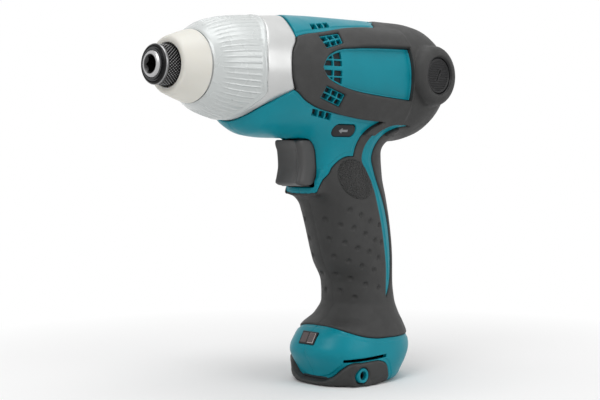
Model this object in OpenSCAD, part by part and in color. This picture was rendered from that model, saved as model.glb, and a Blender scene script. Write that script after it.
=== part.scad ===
// Compact corded impact driver with a pistol grip.
// Millimetres. +X runs along the spindle to the bit, +Y is the tool's left, +Z is up.
// The origin lies on the flat foot, under the handle.

/* [Overall] */
// Height of the spindle axis above the foot
axis_height = 159; // [152:1:170]
// Distance of the anvil's tip ahead of the origin
nose_length = 129; // [125:0.5:134]
// Outer radius of the motor housing
head_radius = 28.5; // [28.3:0.1:30]
// Depth of the handle from front to back
grip_depth = 46; // [44:0.5:50]
// Width of the handle
grip_width = 35; // [33:0.5:39]
// Wall of the housing halves
wall = 2.6; // [2.3:0.1:2.8]
// Depth of the soft cover let into the housing
inlay = 1.2; // [0.8:0.1:1.4]
// Height of the soft cover above the hard plastic
proud = 0.4; // [0.2:0.1:0.8]
// Gap along the seam between moulded pieces
seam = 0.1; // [0.06:0.02:0.2]

/* [Anvil and bit holder] */
// Width of the hex socket across its flats
socket_flats = 6.5; // [6.4:0.05:6.6]
// Depth of the hex socket
socket_depth = 22; // [18:0.5:23]
// Radius of the anvil's nose
anvil_nose_r = 6.3; // [6.1:0.1:6.5]
// Length of the anvil's nose
anvil_nose_length = 15; // [14.5:0.5:17]
// Radius of the anvil's journal
journal_r = 7.5; // [7.2:0.1:8]
// Length of the anvil's journal
journal_length = 17.5; // [16:0.5:19]
// Radius of the anvil's two striking lugs
lug_r = 16.5; // [15:0.5:16.5]
// Length of the lugs along the axis
lug_length = 7; // [6.5:0.1:8]
// Radius of the sleeve
sleeve_r = 9.3; // [9.1:0.1:9.8]
// Length of the sleeve
sleeve_length = 11.4; // [11.2:0.1:11.6]
// Travel of the sleeve when it is pulled forward
sleeve_travel = 3.5; // [3:0.1:3.6]
// Radius of the balls that hold the bit
bit_ball_r = 1.75; // [1.7:0.05:1.8]

/* [Hammer and spindle] */
// Radius of the hammer
hammer_r = 20; // [19:0.1:20.1]
// Length of the hammer without its lugs
hammer_length = 17.3; // [17:0.1:18]
// Travel of the hammer along the spindle
hammer_travel = 6.5; // [6.2:0.1:6.8]
// Turn of the hammer over its travel, in degrees
hammer_turn = 35; // [30:1:40]
// Radius of the spindle in the hammer
spindle_r = 6.5; // [6.2:0.1:6.8]
// Radius of the balls in the cam grooves
cam_ball_r = 2.4; // [2.2:0.1:2.5]
// Wire radius of the hammer spring
hammer_wire_r = 0.9; // [0.7:0.05:0.95]

/* [Gears] */
// Tooth module of the planetary gear
tooth = 0.8; // [0.78:0.01:0.81]
// Width of the planet gears
planet_width = 6.8; // [6:0.1:7.5]
// Radius of the planet pins
planet_pin_r = 2.5; // [2.2:0.1:3]
// Thickness of the carrier's plates
plate_t = 3.2; // [2.8:0.1:3.6]

/* [Motor] */
// Radius of the armature core
core_r = 14.8; // [14:0.1:15]
// Length of the armature core
core_length = 36; // [33:0.5:37]
// Radius of the commutator
commutator_r = 10; // [9.5:0.1:10.4]
// Radius of the motor shaft
shaft_r = 4; // [3.8:0.1:4.2]
// Radius of the cooling fan
fan_r = 22.3; // [21:0.1:22.8]
// Width of the cooling fan
fan_width = 8.3; // [7.5:0.1:8.5]
// Radius of the brush caps
cap_r = 9.3; // [9.1:0.1:9.6]

/* [Controls] */
// Travel of the trigger
trigger_travel = 7; // [6:0.5:7]
// Width of the trigger
trigger_width = 18.5; // [17:0.5:19]
// Height of the trigger
trigger_height = 23; // [22:0.5:23.5]
// Travel of the reversing lever to each side
lever_travel = 2.5; // [2:0.1:2.6]

/* [Base] */
// Radius of the cord inlet's hole
cord_r = 3.7; // [3.4:0.1:4]
// Minor radius of the tapped hook inserts
hook_thread_r = 1.65; // [1.55:0.05:1.75]
// Length of the hook inserts
hook_insert_length = 8; // [7:0.5:9]

/* [Hidden] */
$fn = 48;

teal = [0.0, 0.45, 0.52];
dark = [0.16, 0.17, 0.18];
black = [0.06, 0.06, 0.07];
cream = [0.86, 0.85, 0.80];
clear = [0.85, 0.87, 0.88, 0.6];
silver = [0.75, 0.75, 0.75];
steel = [0.6, 0.6, 0.62];
bright = [0.8, 0.8, 0.82];
brass = [0.8, 0.65, 0.3];
copper = [0.75, 0.4, 0.2];
rubber = [0.1, 0.1, 0.1];

// Clearances: running fits, close seats, loose room, and the overrun of every cut
run = 0.05;
seat = 0.02;
room = 0.3;
cut = 60;

// Teeth of the planetary gear, and the shape of a tooth
sun_teeth = 9;
planet_teeth = 21;
ring_teeth = sun_teeth + 2 * planet_teeth;
planets = 3;
pressure_angle = 25;
addendum_share = 0.8;
dedendum_share = 1.05;
backlash_share = 0.07;
flank_steps = 4;
first_planet_angle = 90;
planet_orbit = tooth * (sun_teeth + planet_teeth) / 2;
planet_tip_r = tooth * (planet_teeth / 2 + addendum_share);
sun_tip_r = tooth * (sun_teeth / 2 + addendum_share);
ring_wall = 1.4;
ring_r = tooth * (ring_teeth / 2 + dedendum_share) + ring_wall;

// Places along the spindle axis, from the anvil's tip backwards
tip_x = nose_length;
journal_front_x = tip_x - anvil_nose_length;
lug_front_x = journal_front_x - journal_length;
lug_rear_x = lug_front_x - lug_length;
strike_gap = 0.7;
hammer_face_x = lug_rear_x - strike_gap;
hammer_rear_x = hammer_face_x - hammer_length;
stop_gap = 0.8;
carrier_front_x = hammer_rear_x - hammer_travel - stop_gap;
planet_front_x = carrier_front_x - plate_t - room;
planet_rear_x = planet_front_x - planet_width;
carrier_rear_x = planet_rear_x - room - plate_t;
spindle_bearing_width = 5.8;
spindle_bearing_x = carrier_rear_x - seat - spindle_bearing_width;
hub_rear_x = spindle_bearing_x;
box_web = 2;
motor_bearing_width = 6;
front_bearing_x = spindle_bearing_x - room - box_web - room - motor_bearing_width;
box_rear_x = front_bearing_x;
box_front_x = carrier_rear_x - room;
ring_gear_rear_x = planet_rear_x - room / 2;
ring_gear_front_x = planet_front_x + room / 2;
case_cover_of_box = 4.5;
case_rear_x = box_rear_x + case_cover_of_box;
fan_gap = 1.6;
fan_front_x = box_rear_x - fan_gap;
fan_rear_x = fan_front_x - fan_width;
baffle_t = 1.5;
baffle_rear_x = fan_rear_x - room - baffle_t;
coil_end = 4.4;
field_front_x = baffle_rear_x - room - coil_end;
field_rear_x = field_front_x - core_length;
winding_end = 3;
winding_tail = 10;
commutator_length = 12;
commutator_gap = 4;
commutator_front_x = field_rear_x - winding_tail - commutator_gap;
commutator_rear_x = commutator_front_x - commutator_length;
brush_x = (commutator_front_x + commutator_rear_x) / 2;
rear_shoulder = 3;
rear_bearing_x = commutator_rear_x - rear_shoulder - motor_bearing_width;
rear_room = 3.6;
tail_x = rear_bearing_x - rear_room - wall;
tail_length = -tail_x;

// Bearing radii
spindle_hub_r = 8.5;
spindle_bearing_r = 15;
front_bearing_r = 11;
rear_shaft_share = 0.875;
rear_shaft_r = shaft_r * rear_shaft_share;
rear_bearing_r = 9.5;
rubber_t = 1.2;

// Head sections: place along the axis, then top, bottom and half width, and roundness.
// Places are shares of the nose or tail length, the rest are shares of the head radius.
head_shares = [
    [-1.00, 0.50, 0.50, 0.50, 2.0], [-0.98, 0.66, 0.68, 0.68, 2.0], [-0.93, 0.78, 0.84, 0.81, 2.1],
    [-0.85, 0.88, 0.99, 0.91, 2.1], [-0.74, 0.97, 1.11, 0.97, 2.1], [-0.55, 1.01, 1.19, 1.00, 2.1],
    [-0.20, 1.01, 1.21, 1.00, 2.1], [0.20, 1.00, 1.175, 1.00, 2.1], [0.36, 0.98, 1.165, 0.98, 2.1],
    [0.47, 0.95, 1.155, 0.95, 2.1], [0.55, 0.93, 1.12, 0.93, 2.1], [0.61, 0.90, 1.03, 0.90, 2.1],
    [0.645, 0.87, 0.89, 0.87, 2.1]
];
// Handle and base sections: height, front, back and half width, and roundness.
// Heights are shares of the axis height, front and back of the depth, widths of the width.
grip_shares = [
    [0.000, 0.57, -0.59, 0.64, 2.6], [0.025, 0.59, -0.63, 0.71, 2.6], [0.063, 0.62, -0.72, 0.72, 2.6],
    [0.113, 0.67, -0.80, 0.70, 2.5], [0.151, 0.62, -0.79, 0.67, 2.4], [0.182, 0.53, -0.74, 0.63, 2.4],
    [0.214, 0.36, -0.67, 0.57, 2.3], [0.258, 0.25, -0.61, 0.51, 2.3], [0.321, 0.26, -0.59, 0.49, 2.3],
    [0.396, 0.37, -0.59, 0.50, 2.3], [0.503, 0.49, -0.55, 0.51, 2.3], [0.597, 0.60, -0.47, 0.50, 2.5],
    [0.660, 0.70, -0.39, 0.48, 3.0], [0.742, 0.72, -0.37, 0.47, 3.0], [0.805, 0.76, -0.43, 0.48, 3.0],
    [0.880, 0.80, -0.57, 0.49, 2.6]
];
ring_steps = 24;
shell_facets = 20;

// Side outlines: place along the axis and height above the axis, in head radii.
soft_shares = [
    [0.480, 0.07], [0.476, 0.29], [0.450, 0.46], [0.333, 0.64], [0.207, 0.74], [0.030, 0.82],
    [-0.055, 0.845], [-0.115, 0.93], [-0.22, 0.985], [-0.33, 1.03], [-0.35, 1.15], [-1.20, 1.15],
    [-1.20, -1.37], [-0.80, -1.72], [-0.80, -4.78],
    [-0.34, -4.78], [-0.15, -4.77], [0.020, -4.75], [0.095, -4.68], [0.145, -4.58], [0.170, -4.50],
    [0.350, -4.49], [0.350, -2.40], [0.217, -2.11], [0.209, -1.99], [0.195, -1.74], [0.180, -1.63],
    [0.160, -1.55], [0.131, -1.50], [0.091, -1.49], [0.083, -1.35], [0.070, -1.22], [0.055, -1.11],
    [0.031, -1.00], [-0.07, -0.85], [0.133, -0.80], [0.261, -0.73], [0.361, -0.64], [0.432, -0.51],
    [0.465, -0.38], [0.478, -0.21]
];
strip_shares = [
    [-0.49, -0.93], [-0.22, -0.90], [-0.06, -1.04], [0.000, -1.15], [0.020, -1.26], [0.037, -1.40],
    [0.043, -1.55], [0.019, -1.73], [-0.04, -2.00], [-0.10, -2.37], [-0.15, -2.74], [-0.19, -3.11],
    [-0.22, -3.48], [-0.22, -3.85], [-0.21, -4.07], [-0.29, -3.82], [-0.32, -3.48], [-0.31, -3.05],
    [-0.27, -2.63], [-0.21, -2.32], [-0.15, -2.08], [-0.07, -1.73], [-0.04, -1.52], [-0.08, -1.33],
    [-0.12, -1.22], [-0.18, -1.10], [-0.32, -0.98]
];
plate_shares = [
    [0.350, 0.04], [0.325, 0.21], [0.264, 0.35], [0.166, 0.41], [0.020, 0.45], [-0.34, 0.47],
    [-0.35, -0.47], [0.029, -0.41], [0.199, -0.32], [0.272, -0.24], [0.329, -0.11]
];
foot_shares = [
    [-0.150, -5.800], [-0.100, -5.370], [-0.075, -5.240], [0.006, -5.155], [0.057, -5.148], [0.095, -5.158],
    [0.144, -5.172], [0.169, -5.263], [0.198, -5.400], [0.208, -5.440], [0.300, -5.450], [0.300, -5.800]
];
front_edge_shares = [
    [0.364, 1.200], [0.384, 0.980], [0.412, 0.937], [0.436, 0.828], [0.448, 0.680], [0.454, 0.523],
    [0.491, 0.274], [0.497, -0.147], [0.475, -0.358], [0.547, -0.526], [0.613, -0.716], [0.638, -0.860],
    [0.655, -1.400], [-1.200, -1.400], [-1.200, 1.200]
];
cover_edge_shares = [
    [0.496, 1.200], [0.516, 0.950], [0.547, 0.800], [0.563, 0.705], [0.597, 0.435], [0.615, 0.100],
    [0.612, -0.225], [0.599, -0.430], [0.619, -0.560], [0.642, -0.677], [0.667, -0.800], [0.713, -1.020],
    [0.770, -1.200], [1.000, -1.200], [1.000, 1.200]
];
// Radii of the nose along the axis, in shares of the nose length and the head radius
nose_shares = [
    [0.360, 0.975], [0.430, 0.955], [0.510, 0.935], [0.605, 0.905], [0.690, 0.850], [0.740, 0.780],
    [0.780, 0.700], [0.822, 0.605]
];
cover_t = 1.4;
case_fit_r = head_radius * nose_shares[1][1] - wall + seat;
bumper_rear_share = 0.824;
bumper_rear_x = tip_x * bumper_rear_share;

// Trigger, switch and lever places
underside_share = 1.17;
underside_z = axis_height - head_radius * underside_share;
trigger_gap = 1;
trigger_top_z = underside_z - trigger_gap;
trigger_bottom_z = trigger_top_z - trigger_height;
trigger_rear_share = 0.61;
trigger_rear_x = grip_depth * trigger_rear_share;
trigger_front_share = 0.955;
trigger_front_x = grip_depth * trigger_front_share;
switch_front_x = trigger_rear_x - trigger_travel - room;
switch_rear_share = -0.13;
switch_rear_x = grip_depth * switch_rear_share;
switch_narrowing = 0.5;
switch_width = trigger_width - switch_narrowing;
lever_share = 0.445;
lever_x = grip_depth * lever_share;
lever_lift = 4;
lever_z = underside_z + lever_lift;
lever_reach_share = 0.53;
lever_y = head_radius * lever_reach_share;

// Corner radius of a shell's faceted hole that clears a round piece
function round_hole(r) = r / cos(180 / shell_facets);
function along(share) = share < 0 ? share * tail_length : share * nose_length;
function rounded(c, n) = sign(c) * pow(abs(c), 2 / n);

// A place on the side: above the head's underside it follows the head, below it the handle
ground_share = -5.579;
grip_rear_share = 1.2526;
grip_front_share = 2.8043;
function along_grip(share) = share * grip_depth * (share < 0 ? grip_rear_share : grip_front_share);
function up_grip(share) = underside_z * (share - ground_share) / (-underside_share - ground_share);
function side_place(s) = s[1] < -underside_share
    ? [along_grip(s[0]), up_grip(s[1])]
    : [along(s[0]), axis_height + s[1] * head_radius];
function on_side(shares) = [for (s = shares) side_place(s)];

// Rings of the two lofts, grown or shrunk by one amount all round
function head_ring(s, grow) = [
    for (i = [0 : ring_steps - 1])
        let (
            a = 360 * i / ring_steps,
            x = along(s[0]) * (s[0] < 0 ? 1 + grow / tail_length : 1),
            h = (sin(a) > 0 ? s[1] : s[2]) * head_radius + grow
        )
        [x, (s[3] * head_radius + grow) * rounded(cos(a), s[4]), axis_height + h * rounded(sin(a), s[4])]
];
function grip_ring(s, grow) = [
    for (i = [0 : ring_steps - 1])
        let (
            a = 360 * i / ring_steps,
            z = max(s[0] * axis_height, -grow),
            middle = (s[1] + s[2]) * grip_depth / 2,
            reach = (s[1] - s[2]) * grip_depth / 2 + grow
        )
        [middle + reach * rounded(cos(a), s[4]), (s[3] * grip_width + grow) * rounded(sin(a), s[4]), z]
];

// Skin over a list of rings with equal numbers of points
module loft(rings) {
    n = len(rings[0]);
    last = (len(rings) - 1) * n;
    points = [for (r = rings) each r];
    sides = [
        for (k = [0 : len(rings) - 2], i = [0 : n - 1])
            let (j = (i + 1) % n, a = k * n + i, b = k * n + j)
            each [[a, a + n, b], [b, a + n, b + n]]
    ];
    first_cap = [[for (i = [0 : n - 1]) i]];
    last_cap = [[for (i = [n - 1 : -1 : 0]) last + i]];
    polyhedron(concat(points), concat(sides, first_cap, last_cap));
}

// Helix of round wire along +Z, from 0 to its height
module coil(radius, wire_r, height, turns) {
    steps = 8;
    sides = 6;
    count = ceil(turns * steps);
    rise = (height - 2 * wire_r) / count;
    rings = [
        for (k = [0 : count])
            let (a = 360 * k / steps)
            [
                for (i = [0 : sides - 1])
                    let (b = 360 * i / sides, r = radius + wire_r * cos(b))
                    [r * cos(a), r * sin(a), wire_r + rise * k + wire_r * sin(b)]
            ]
    ];
    n = sides;
    last = count * n;
    walls = [
        for (k = [0 : count - 1], i = [0 : n - 1])
            let (j = (i + 1) % n, a = k * n + i, b = k * n + j)
            each [[a, b, a + n], [b, b + n, a + n]]
    ];
    polyhedron(
        [for (r = rings) each r],
        concat(walls, [[for (i = [n - 1 : -1 : 0]) i]], [[for (i = [0 : n - 1]) last + i]])
    );
}

// Shapes along the spindle axis
module at_axis(x) {
    translate([x, 0, axis_height])
        rotate([0, 90, 0])
            children();
}
module rod(x0, x1, r) {
    at_axis(x0)
        cylinder(h = x1 - x0, r = r);
}
module tube(x0, x1, r_out, r_in) {
    difference() {
        rod(x0, x1, r_out);
        rod(x0 - room, x1 + room, r_in);
    }
}
module turned(profile) {
    at_axis(0)
        rotate_extrude()
            polygon(profile);
}
// A ring's sector between two angles, counted from +Y towards +Z
module sector(x0, x1, r_out, r_in, from, to) {
    reach = 2 * r_out;
    middle = (from + to) / 2;
    intersection() {
        tube(x0, x1, r_out, r_in);
        at_axis(x0 - room)
            linear_extrude(x1 - x0 + 2 * room)
                polygon([
                    [0, 0],
                    reach * [-sin(from), cos(from)],
                    reach * [-sin(middle), cos(middle)],
                    reach * [-sin(to), cos(to)]
                ]);
    }
}
// A rod across the tool, from one side distance to another
module cross_rod(x, z, y0, y1, r) {
    translate([x, y0, z])
        rotate([-90, 0, 0])
            cylinder(h = y1 - y0, r = r);
}
// The same on one side only, from one distance off the middle to another
module side_rod(side, x, z, y0, y1, r) {
    cross_rod(x, z, side > 0 ? y0 : -y1, side > 0 ? y1 : -y0, r);
}
// A side outline made solid across the tool
module across(shares, inset) {
    translate([0, cut, 0])
        rotate([90, 0, 0])
            linear_extrude(2 * cut)
                offset(delta = -inset)
                    polygon(on_side(shares));
}
module half(side) {
    translate([-2 * nose_length, side > 0 ? seam / 2 : -cut - seam / 2, 0])
        cube([4 * nose_length, cut, 2 * axis_height]);
}

// Outer body: head, handle with base, the two brush bosses and the lip under the trigger
boss_rim = 6.3;
boss_r = cap_r + boss_rim;
boss_height = 5;
boss_y = head_radius + boss_height;
boss_round = 5;
// Rounding of a boss's rim: inwards and outwards, in shares of its radius
boss_round_shares = [[0, 0], [0.13, 0.5], [0.5, 0.87], [1, 1]];
lip_r = 1.4;
lip_cheek = 2;
lip_width = trigger_width + 2 * lip_cheek;
lip_share = 0.78;
lip_x = grip_depth * lip_share;
lip_z = trigger_bottom_z - lip_r - proud - room;
lip_root_r = 4.6;
lip_root_back = 15;
lip_root_drop = 0.5;
module body(grow) {
    top = boss_y - proud;
    loft([for (s = head_shares) head_ring(s, grow)]);
    loft([for (s = grip_shares) grip_ring(s, grow)]);
    for (side = [-1, 1])
        translate([brush_x, 0, axis_height])
            rotate([-90 * side, 0, 0])
                rotate_extrude()
                    polygon(concat(
                        [[0, 0], [boss_r + grow, 0]],
                        [
                            for (s = boss_round_shares)
                                [boss_r + grow - s[0] * boss_round, top + grow - (1 - s[1]) * boss_round]
                        ],
                        [[0, top + grow]]
                    ));
    hull() {
        cross_rod(lip_x, lip_z, -lip_width / 2, lip_width / 2, lip_r + grow);
        cross_rod(lip_x - lip_root_back, lip_z - lip_root_drop, -lip_width / 2, lip_width / 2,
            lip_root_r + grow);
    }
}

// The soft cover's side outline without the bare plate and the hard strip
module soft_region(inset) {
    difference() {
        across(soft_shares, inset);
        across(plate_shares, -inset);
        across(strip_shares, -inset);
    }
}

// Screws that close the housing: place along the axis and height, in head radii
screw_shares = [
    [0.345, -1.035], [-0.46, -1.00], [-0.17, -2.50], [-0.10, -3.80], [0.15, -5.05], [-0.50, -5.00]
];
screw_r = 1.5;
screw_head_r = 3;
screw_boss_wall = 1.4;
screw_boss_r = screw_head_r + screw_boss_wall;
screw_reach = 9;
screw_head_y = 11;
screw_head_t = 2.2;
module each_screw() {
    for (s = screw_shares)
        translate([side_place(s)[0], 0, side_place(s)[1]])
            children();
}

// Vent slots: a row of short slots along a side direction
module slot_row(x, z, count, pitch, length, width, lean) {
    for (i = [0 : count - 1])
        translate([x - i * pitch, 0, z])
            rotate([0, lean, 0])
                hull()
                    for (end = [-1, 1])
                        translate([0, 0, end * (length - width) / 2])
                            rotate([-90, 0, 0])
                                cylinder(h = cut, r = width / 2, $fn = 8);
}
vent_w = 2.6;
vent_pitch = 4.6;
// Rows of vents: place along the axis, height in head radii, number, length and width in vent widths, lean
vent_shares = [
    [0.335, 0.77, 3, 1.4, 1.0, 20], [0.325, 0.60, 3, 1.0, 0.9, 12], [0.315, 0.48, 3, 1.0, 0.9, 12],
    [0.325, -0.37, 3, 1.0, 0.9, -12], [0.335, -0.52, 3, 1.0, 0.9, -12], [0.370, -0.75, 3, 1.4, 1.0, -20],
    [0.320, 0.14, 2, 1.6, 1.0, 30], [0.320, -0.07, 2, 1.6, 1.0, -30]
];
module vents() {
    for (v = vent_shares)
        slot_row(along(v[0]), axis_height + head_radius * v[1], v[2], vent_pitch,
            vent_w * v[3], vent_w * v[4], v[5]);
}

// Space for the trigger, lever, lens, gland and inserts, shared by the shell's pieces
lens_width = 10.4;
lens_height = 7;
lens_t = 3;
lens_shares = [0.569, 0.1447];
lens_x = grip_depth * lens_shares[0];
lens_z = axis_height * lens_shares[1];
lens_lean = 31;
gland_share = -0.35;
gland_x = grip_depth * gland_share;
gland_wall = 2.8;
gland_r = cord_r + gland_wall;
gland_height = 16;
gland_lift = 0.5;
hook_share = 0.276;
hook_x = grip_depth * hook_share;
hook_z = 5.6;
hook_insert_wall = 0.85;
hook_outer_r = hook_thread_r + hook_insert_wall;
hook_boss_wall = 1.5;
hook_boss_r = hook_outer_r + hook_boss_wall;
hook_face_share = 0.672;
hook_face_y = grip_width * hook_face_share;
insert_recess = 1.2;
insert_face_y = hook_face_y - insert_recess;
module lens_block(grow, out) {
    translate([lens_x, 0, lens_z])
        rotate([0, -lens_lean, 0])
            translate([out / 2, 0, 0])
                cube([lens_t + out, lens_width, lens_height] + grow * [2, 2, 2], center = true);
}
module trigger_space() {
    translate([switch_front_x, -trigger_width / 2 - room, trigger_bottom_z - room])
        cube([cut, trigger_width + 2 * room, trigger_height + 2 * room]);
}
lever_length = 15;
lever_height = 5.6;
module lever_plate(y, t, grow) {
    translate([lever_x, y, lever_z])
        rotate([-90, 0, 0])
            hull()
                for (end = [-1, 1])
                    translate([end * (lever_length - lever_height) / 2, 0, 0])
                        cylinder(h = t, r = lever_height / 2 + grow, $fn = 32);
}
module shell_holes(side) {
    trigger_space();
    lever_plate(side > 0 ? 0 : -cut, cut, room);
    lens_block(room, lens_t);
    translate([gland_x, 0, -cut])
        cylinder(h = cut + 2 * gland_height, r = gland_r + room);
    side_rod(side, hook_x, hook_z, 0, cut, round_hole(hook_outer_r + seat));
    side_rod(side, brush_x, axis_height, 0, cut, holder_r + room);
    side_rod(side, brush_x, axis_height, cap_seat_y, cut, cap_r + room);
}
cap_step = 0.9;
holder_r = cap_r - cap_step;
cap_t = 3;
cap_recess = 1.2;
cap_seat_y = boss_y - cap_t - cap_recess;

// Housing half: hollow moulding with bosses, seats and vents
module housing(side) {
    $fn = shell_facets;
    color(teal)
        difference() {
            intersection() {
                body(0);
                half(side);
                union() {
                    across(front_edge_shares, 0);
                    translate([-2 * nose_length, -cut, 0])
                        cube([4 * nose_length, 2 * cut, axis_height - head_radius * grip_top_share]);
                }
                translate([-2 * nose_length, -cut, base_lift])
                    cube([4 * nose_length, 2 * cut, 2 * axis_height]);
            }
            difference() {
                intersection() {
                    union() {
                        loft([for (s = head_shares) head_ring(s, -wall)]);
                        loft([for (s = grip_shares) grip_ring(s, -wall)]);
                    }
                    translate([-2 * nose_length, -cut, 0])
                        cube([2 * nose_length + along(chin_share), 2 * cut, 2 * axis_height]);
                }
                each_screw()
                    rotate([90, 0, 0])
                        cylinder(h = 2 * cut, r = screw_boss_r, center = true);
                side_rod(side, brush_x, axis_height, holder_tube_y, cut, holder_r + wall);
                side_rod(side, hook_x, hook_z, hook_root_y, cut, hook_boss_r);
                tube(tail_x, rear_bearing_x + motor_bearing_width, rear_seat_r + wall, rear_seat_r);
                tube(box_rear_x - rib_t, box_rear_x - seat, head_radius, front_bearing_r + 2 * rib_t);
                translate([gland_x, 0, 0])
                    cylinder(h = gland_height - rib_t, r = gland_r + wall);
                switch_ribs();
            }
            rod(case_rear_x - room, nose_length, round_hole(case_fit_r + seat));
            rod(rear_bearing_x - room, rear_bearing_x + motor_bearing_width + room, round_hole(rear_seat_r));
            difference() {
                soft_region(0);
                body(-inlay);
            }
            difference() {
                across(foot_shares, 0);
                body(-inlay);
                side_rod(side, hook_x, hook_z, hook_root_y, cut, hook_boss_r);
            }
            shell_holes(side);
            mirror([0, side > 0 ? 0 : 1, 0])
                vents();
            each_screw()
                cross_rod(0, 0, -cut, screw_reach + room, screw_r + seat);
            if (side < 0)
                each_screw()
                    translate([0, -screw_head_y, 0])
                        rotate([90, 0, 0])
                            cylinder(h = cut, r = screw_head_r + room);
            hook_slot(side);
        }
}
base_lift = 0.8;
grip_top_share = 1.35;
chin_share = 0.57;
rib_t = 2;
rear_seat_r = rear_bearing_r + rubber_t + seat;
holder_tube_y = 15;
hook_root_y = insert_face_y - hook_insert_length - wall;
slot_share = 0.195;
slot_x = grip_depth * slot_share;
slot_length = 27;
slot_height = 1.6;
slot_depth = 5;
slot_gap = 3.4;
module hook_slot(side) {
    root_y = hook_face_y - slot_depth;
    translate([slot_x - slot_length / 2, side > 0 ? root_y : -cut, hook_z + hook_boss_r + slot_gap])
        cube([slot_length, cut - (side > 0 ? 0 : root_y), slot_height]);
}
module switch_ribs() {
    for (z = [trigger_bottom_z - rib_t - room, trigger_top_z + room])
        translate([switch_rear_x, -cut, z])
            cube([switch_front_x - switch_rear_x - wall, 2 * cut, rib_t]);
}
module housing_left() {
    housing(1);
}
module housing_right() {
    housing(-1);
}

// Soft cover over one half of the head, handle and brush boss
module overmould(side) {
    $fn = shell_facets;
    color(dark)
        difference() {
            intersection() {
                body(proud);
                soft_region(seam);
                half(side);
            }
            body(-inlay + seam);
            shell_holes(side);
            mirror([0, side > 0 ? 0 : 1, 0])
                vents();
            if (side < 0)
                each_screw()
                    rotate([90, 0, 0])
                        cylinder(h = cut, r = screw_head_r + room);
        }
}
module overmould_left() {
    overmould(1);
}
module overmould_right() {
    overmould(-1);
}

// Soft boot round the bottom of the base
module foot_boot() {
    $fn = shell_facets;
    color(dark)
        difference() {
            intersection() {
                body(proud);
                across(foot_shares, seam);
                translate([-2 * nose_length, -cut, 0])
                    cube([4 * nose_length, 2 * cut, 2 * axis_height]);
            }
            body(-inlay + seam);
            cross_rod(hook_x, hook_z, -cut, cut, hook_boss_r + seam);
            translate([gland_x, 0, -cut])
                cylinder(h = 2 * cut, r = gland_r + room);
        }
}

// Die-cast case round the hammer and the gear
nose_tube_r = 12.6;
bush_t = 2;
bush_r = journal_r + bush_t;
case_overhang = 1.4;
case_front_x = journal_front_x + case_overhang;
washer_t = 0.8;
washer_rim = 3.6;
bush_setback = 1;
bush_front_x = journal_front_x - bush_setback;
bush_rear_x = lug_front_x + washer_t + seat + run;
hammer_air = 0.7;
hammer_room_r = hammer_r + hammer_air;
lug_room_r = lug_r + hammer_air;
gear_room_r = ring_r + run;
module hammer_case() {
    skin = [for (s = nose_shares) [s[1] * head_radius, along(s[0])]];
    under = [for (p = skin) [min(p[0] - cover_t - run, case_fit_r), p[1]]];
    back = skin[0][1];
    front = skin[len(skin) - 1];
    tube_end = [[nose_tube_r, case_front_x], [0, case_front_x]];
    color(silver)
        difference() {
            union() {
                turned(concat([[0, back]], under, [[nose_tube_r, front[1]]], tube_end));
                intersection() {
                    turned(concat([[0, back]], skin, [[0, front[1]]]));
                    case_band();
                }
                rod(case_rear_x, back + seat, case_fit_r);
            }
            rod(case_rear_x - room, carrier_front_x + room, gear_room_r);
            rod(carrier_front_x, hammer_face_x + room, hammer_room_r);
            rod(hammer_face_x, bush_rear_x - washer_t - seat, lug_room_r);
            rod(hammer_face_x, bush_rear_x, bush_r + washer_rim + room);
            rod(hammer_face_x, bush_front_x, bush_r + seat);
            rod(hammer_face_x, cut + tip_x, journal_r + room);
        }
}
// The bare band of the case: behind the cover's edge and ahead of the housing's edge
module case_band() {
    difference() {
        translate([0, -cut, axis_height - cut])
            cube([nose_length, 2 * cut, 2 * cut]);
        across(front_edge_shares, -seam);
        across(cover_edge_shares, -seam);
    }
}

// Clear cover over the front of the case
module case_cover() {
    skin = [for (s = nose_shares) [s[1] * head_radius, along(s[0])]];
    inner = [for (i = [len(skin) - 1 : -1 : 0]) [skin[i][0] - cover_t, skin[i][1]]];
    color(clear)
        intersection() {
            turned(concat(skin, inner));
            across(cover_edge_shares, 0);
        }
}

// Soft bumper round the nose
bumper_front_r = 12.9;
bumper_edge = 1;
bumper_overhang = 4.2;
bumper_front_x = case_front_x + bumper_overhang;
sleeve_flange = 0.6;
bumper_hole_r = sleeve_r + sleeve_flange + room;
bulge_shares = [0.35, 0.965];
module nose_bumper() {
    last = nose_shares[len(nose_shares) - 1];
    rear_r = last[1] * head_radius;
    bulge_r = rear_r * bulge_shares[1];
    bulge_x = bumper_rear_x + (bumper_front_x - bumper_rear_x) * bulge_shares[0];
    color(cream)
        turned([
            [nose_tube_r + run, bumper_rear_x], [rear_r, bumper_rear_x], [bulge_r, bulge_x],
            [bumper_front_r + bumper_edge, bumper_front_x - bumper_edge], [bumper_front_r, bumper_front_x],
            [bumper_hole_r, bumper_front_x], [bumper_hole_r, case_front_x + seat],
            [nose_tube_r + run, case_front_x + seat]
        ]);
}

// Screw caps over the brushes, one on each side
cap_slot = 1.6;
cap_slot_share = 0.7;
cap_floor_share = 0.6;
module brush_caps() {
    color(black)
        for (side = [-1, 1])
            translate([brush_x, side * (cap_seat_y + seat), axis_height])
                rotate([-90 * side, 0, 0])
                    difference() {
                        cylinder(h = cap_t, r = cap_r);
                        translate([-cap_r * cap_slot_share, -cap_slot / 2, cap_t * cap_floor_share])
                            cube([2 * cap_r * cap_slot_share, cap_slot, cap_t]);
                    }
}

// Screws that join the housing halves, put in from the right
module housing_screws() {
    color(steel)
        each_screw()
            rotate([90, 0, 0])
                difference() {
                    union() {
                        translate([0, 0, -screw_reach])
                            cylinder(h = screw_reach + screw_head_y, r = screw_r);
                        translate([0, 0, screw_head_y])
                            cylinder(h = screw_head_t, r = screw_head_r);
                    }
                    translate([0, 0, screw_head_y + screw_head_t / 2])
                        cylinder(h = screw_head_t, r = screw_head_r / 2, $fn = 6);
                }
}

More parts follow.
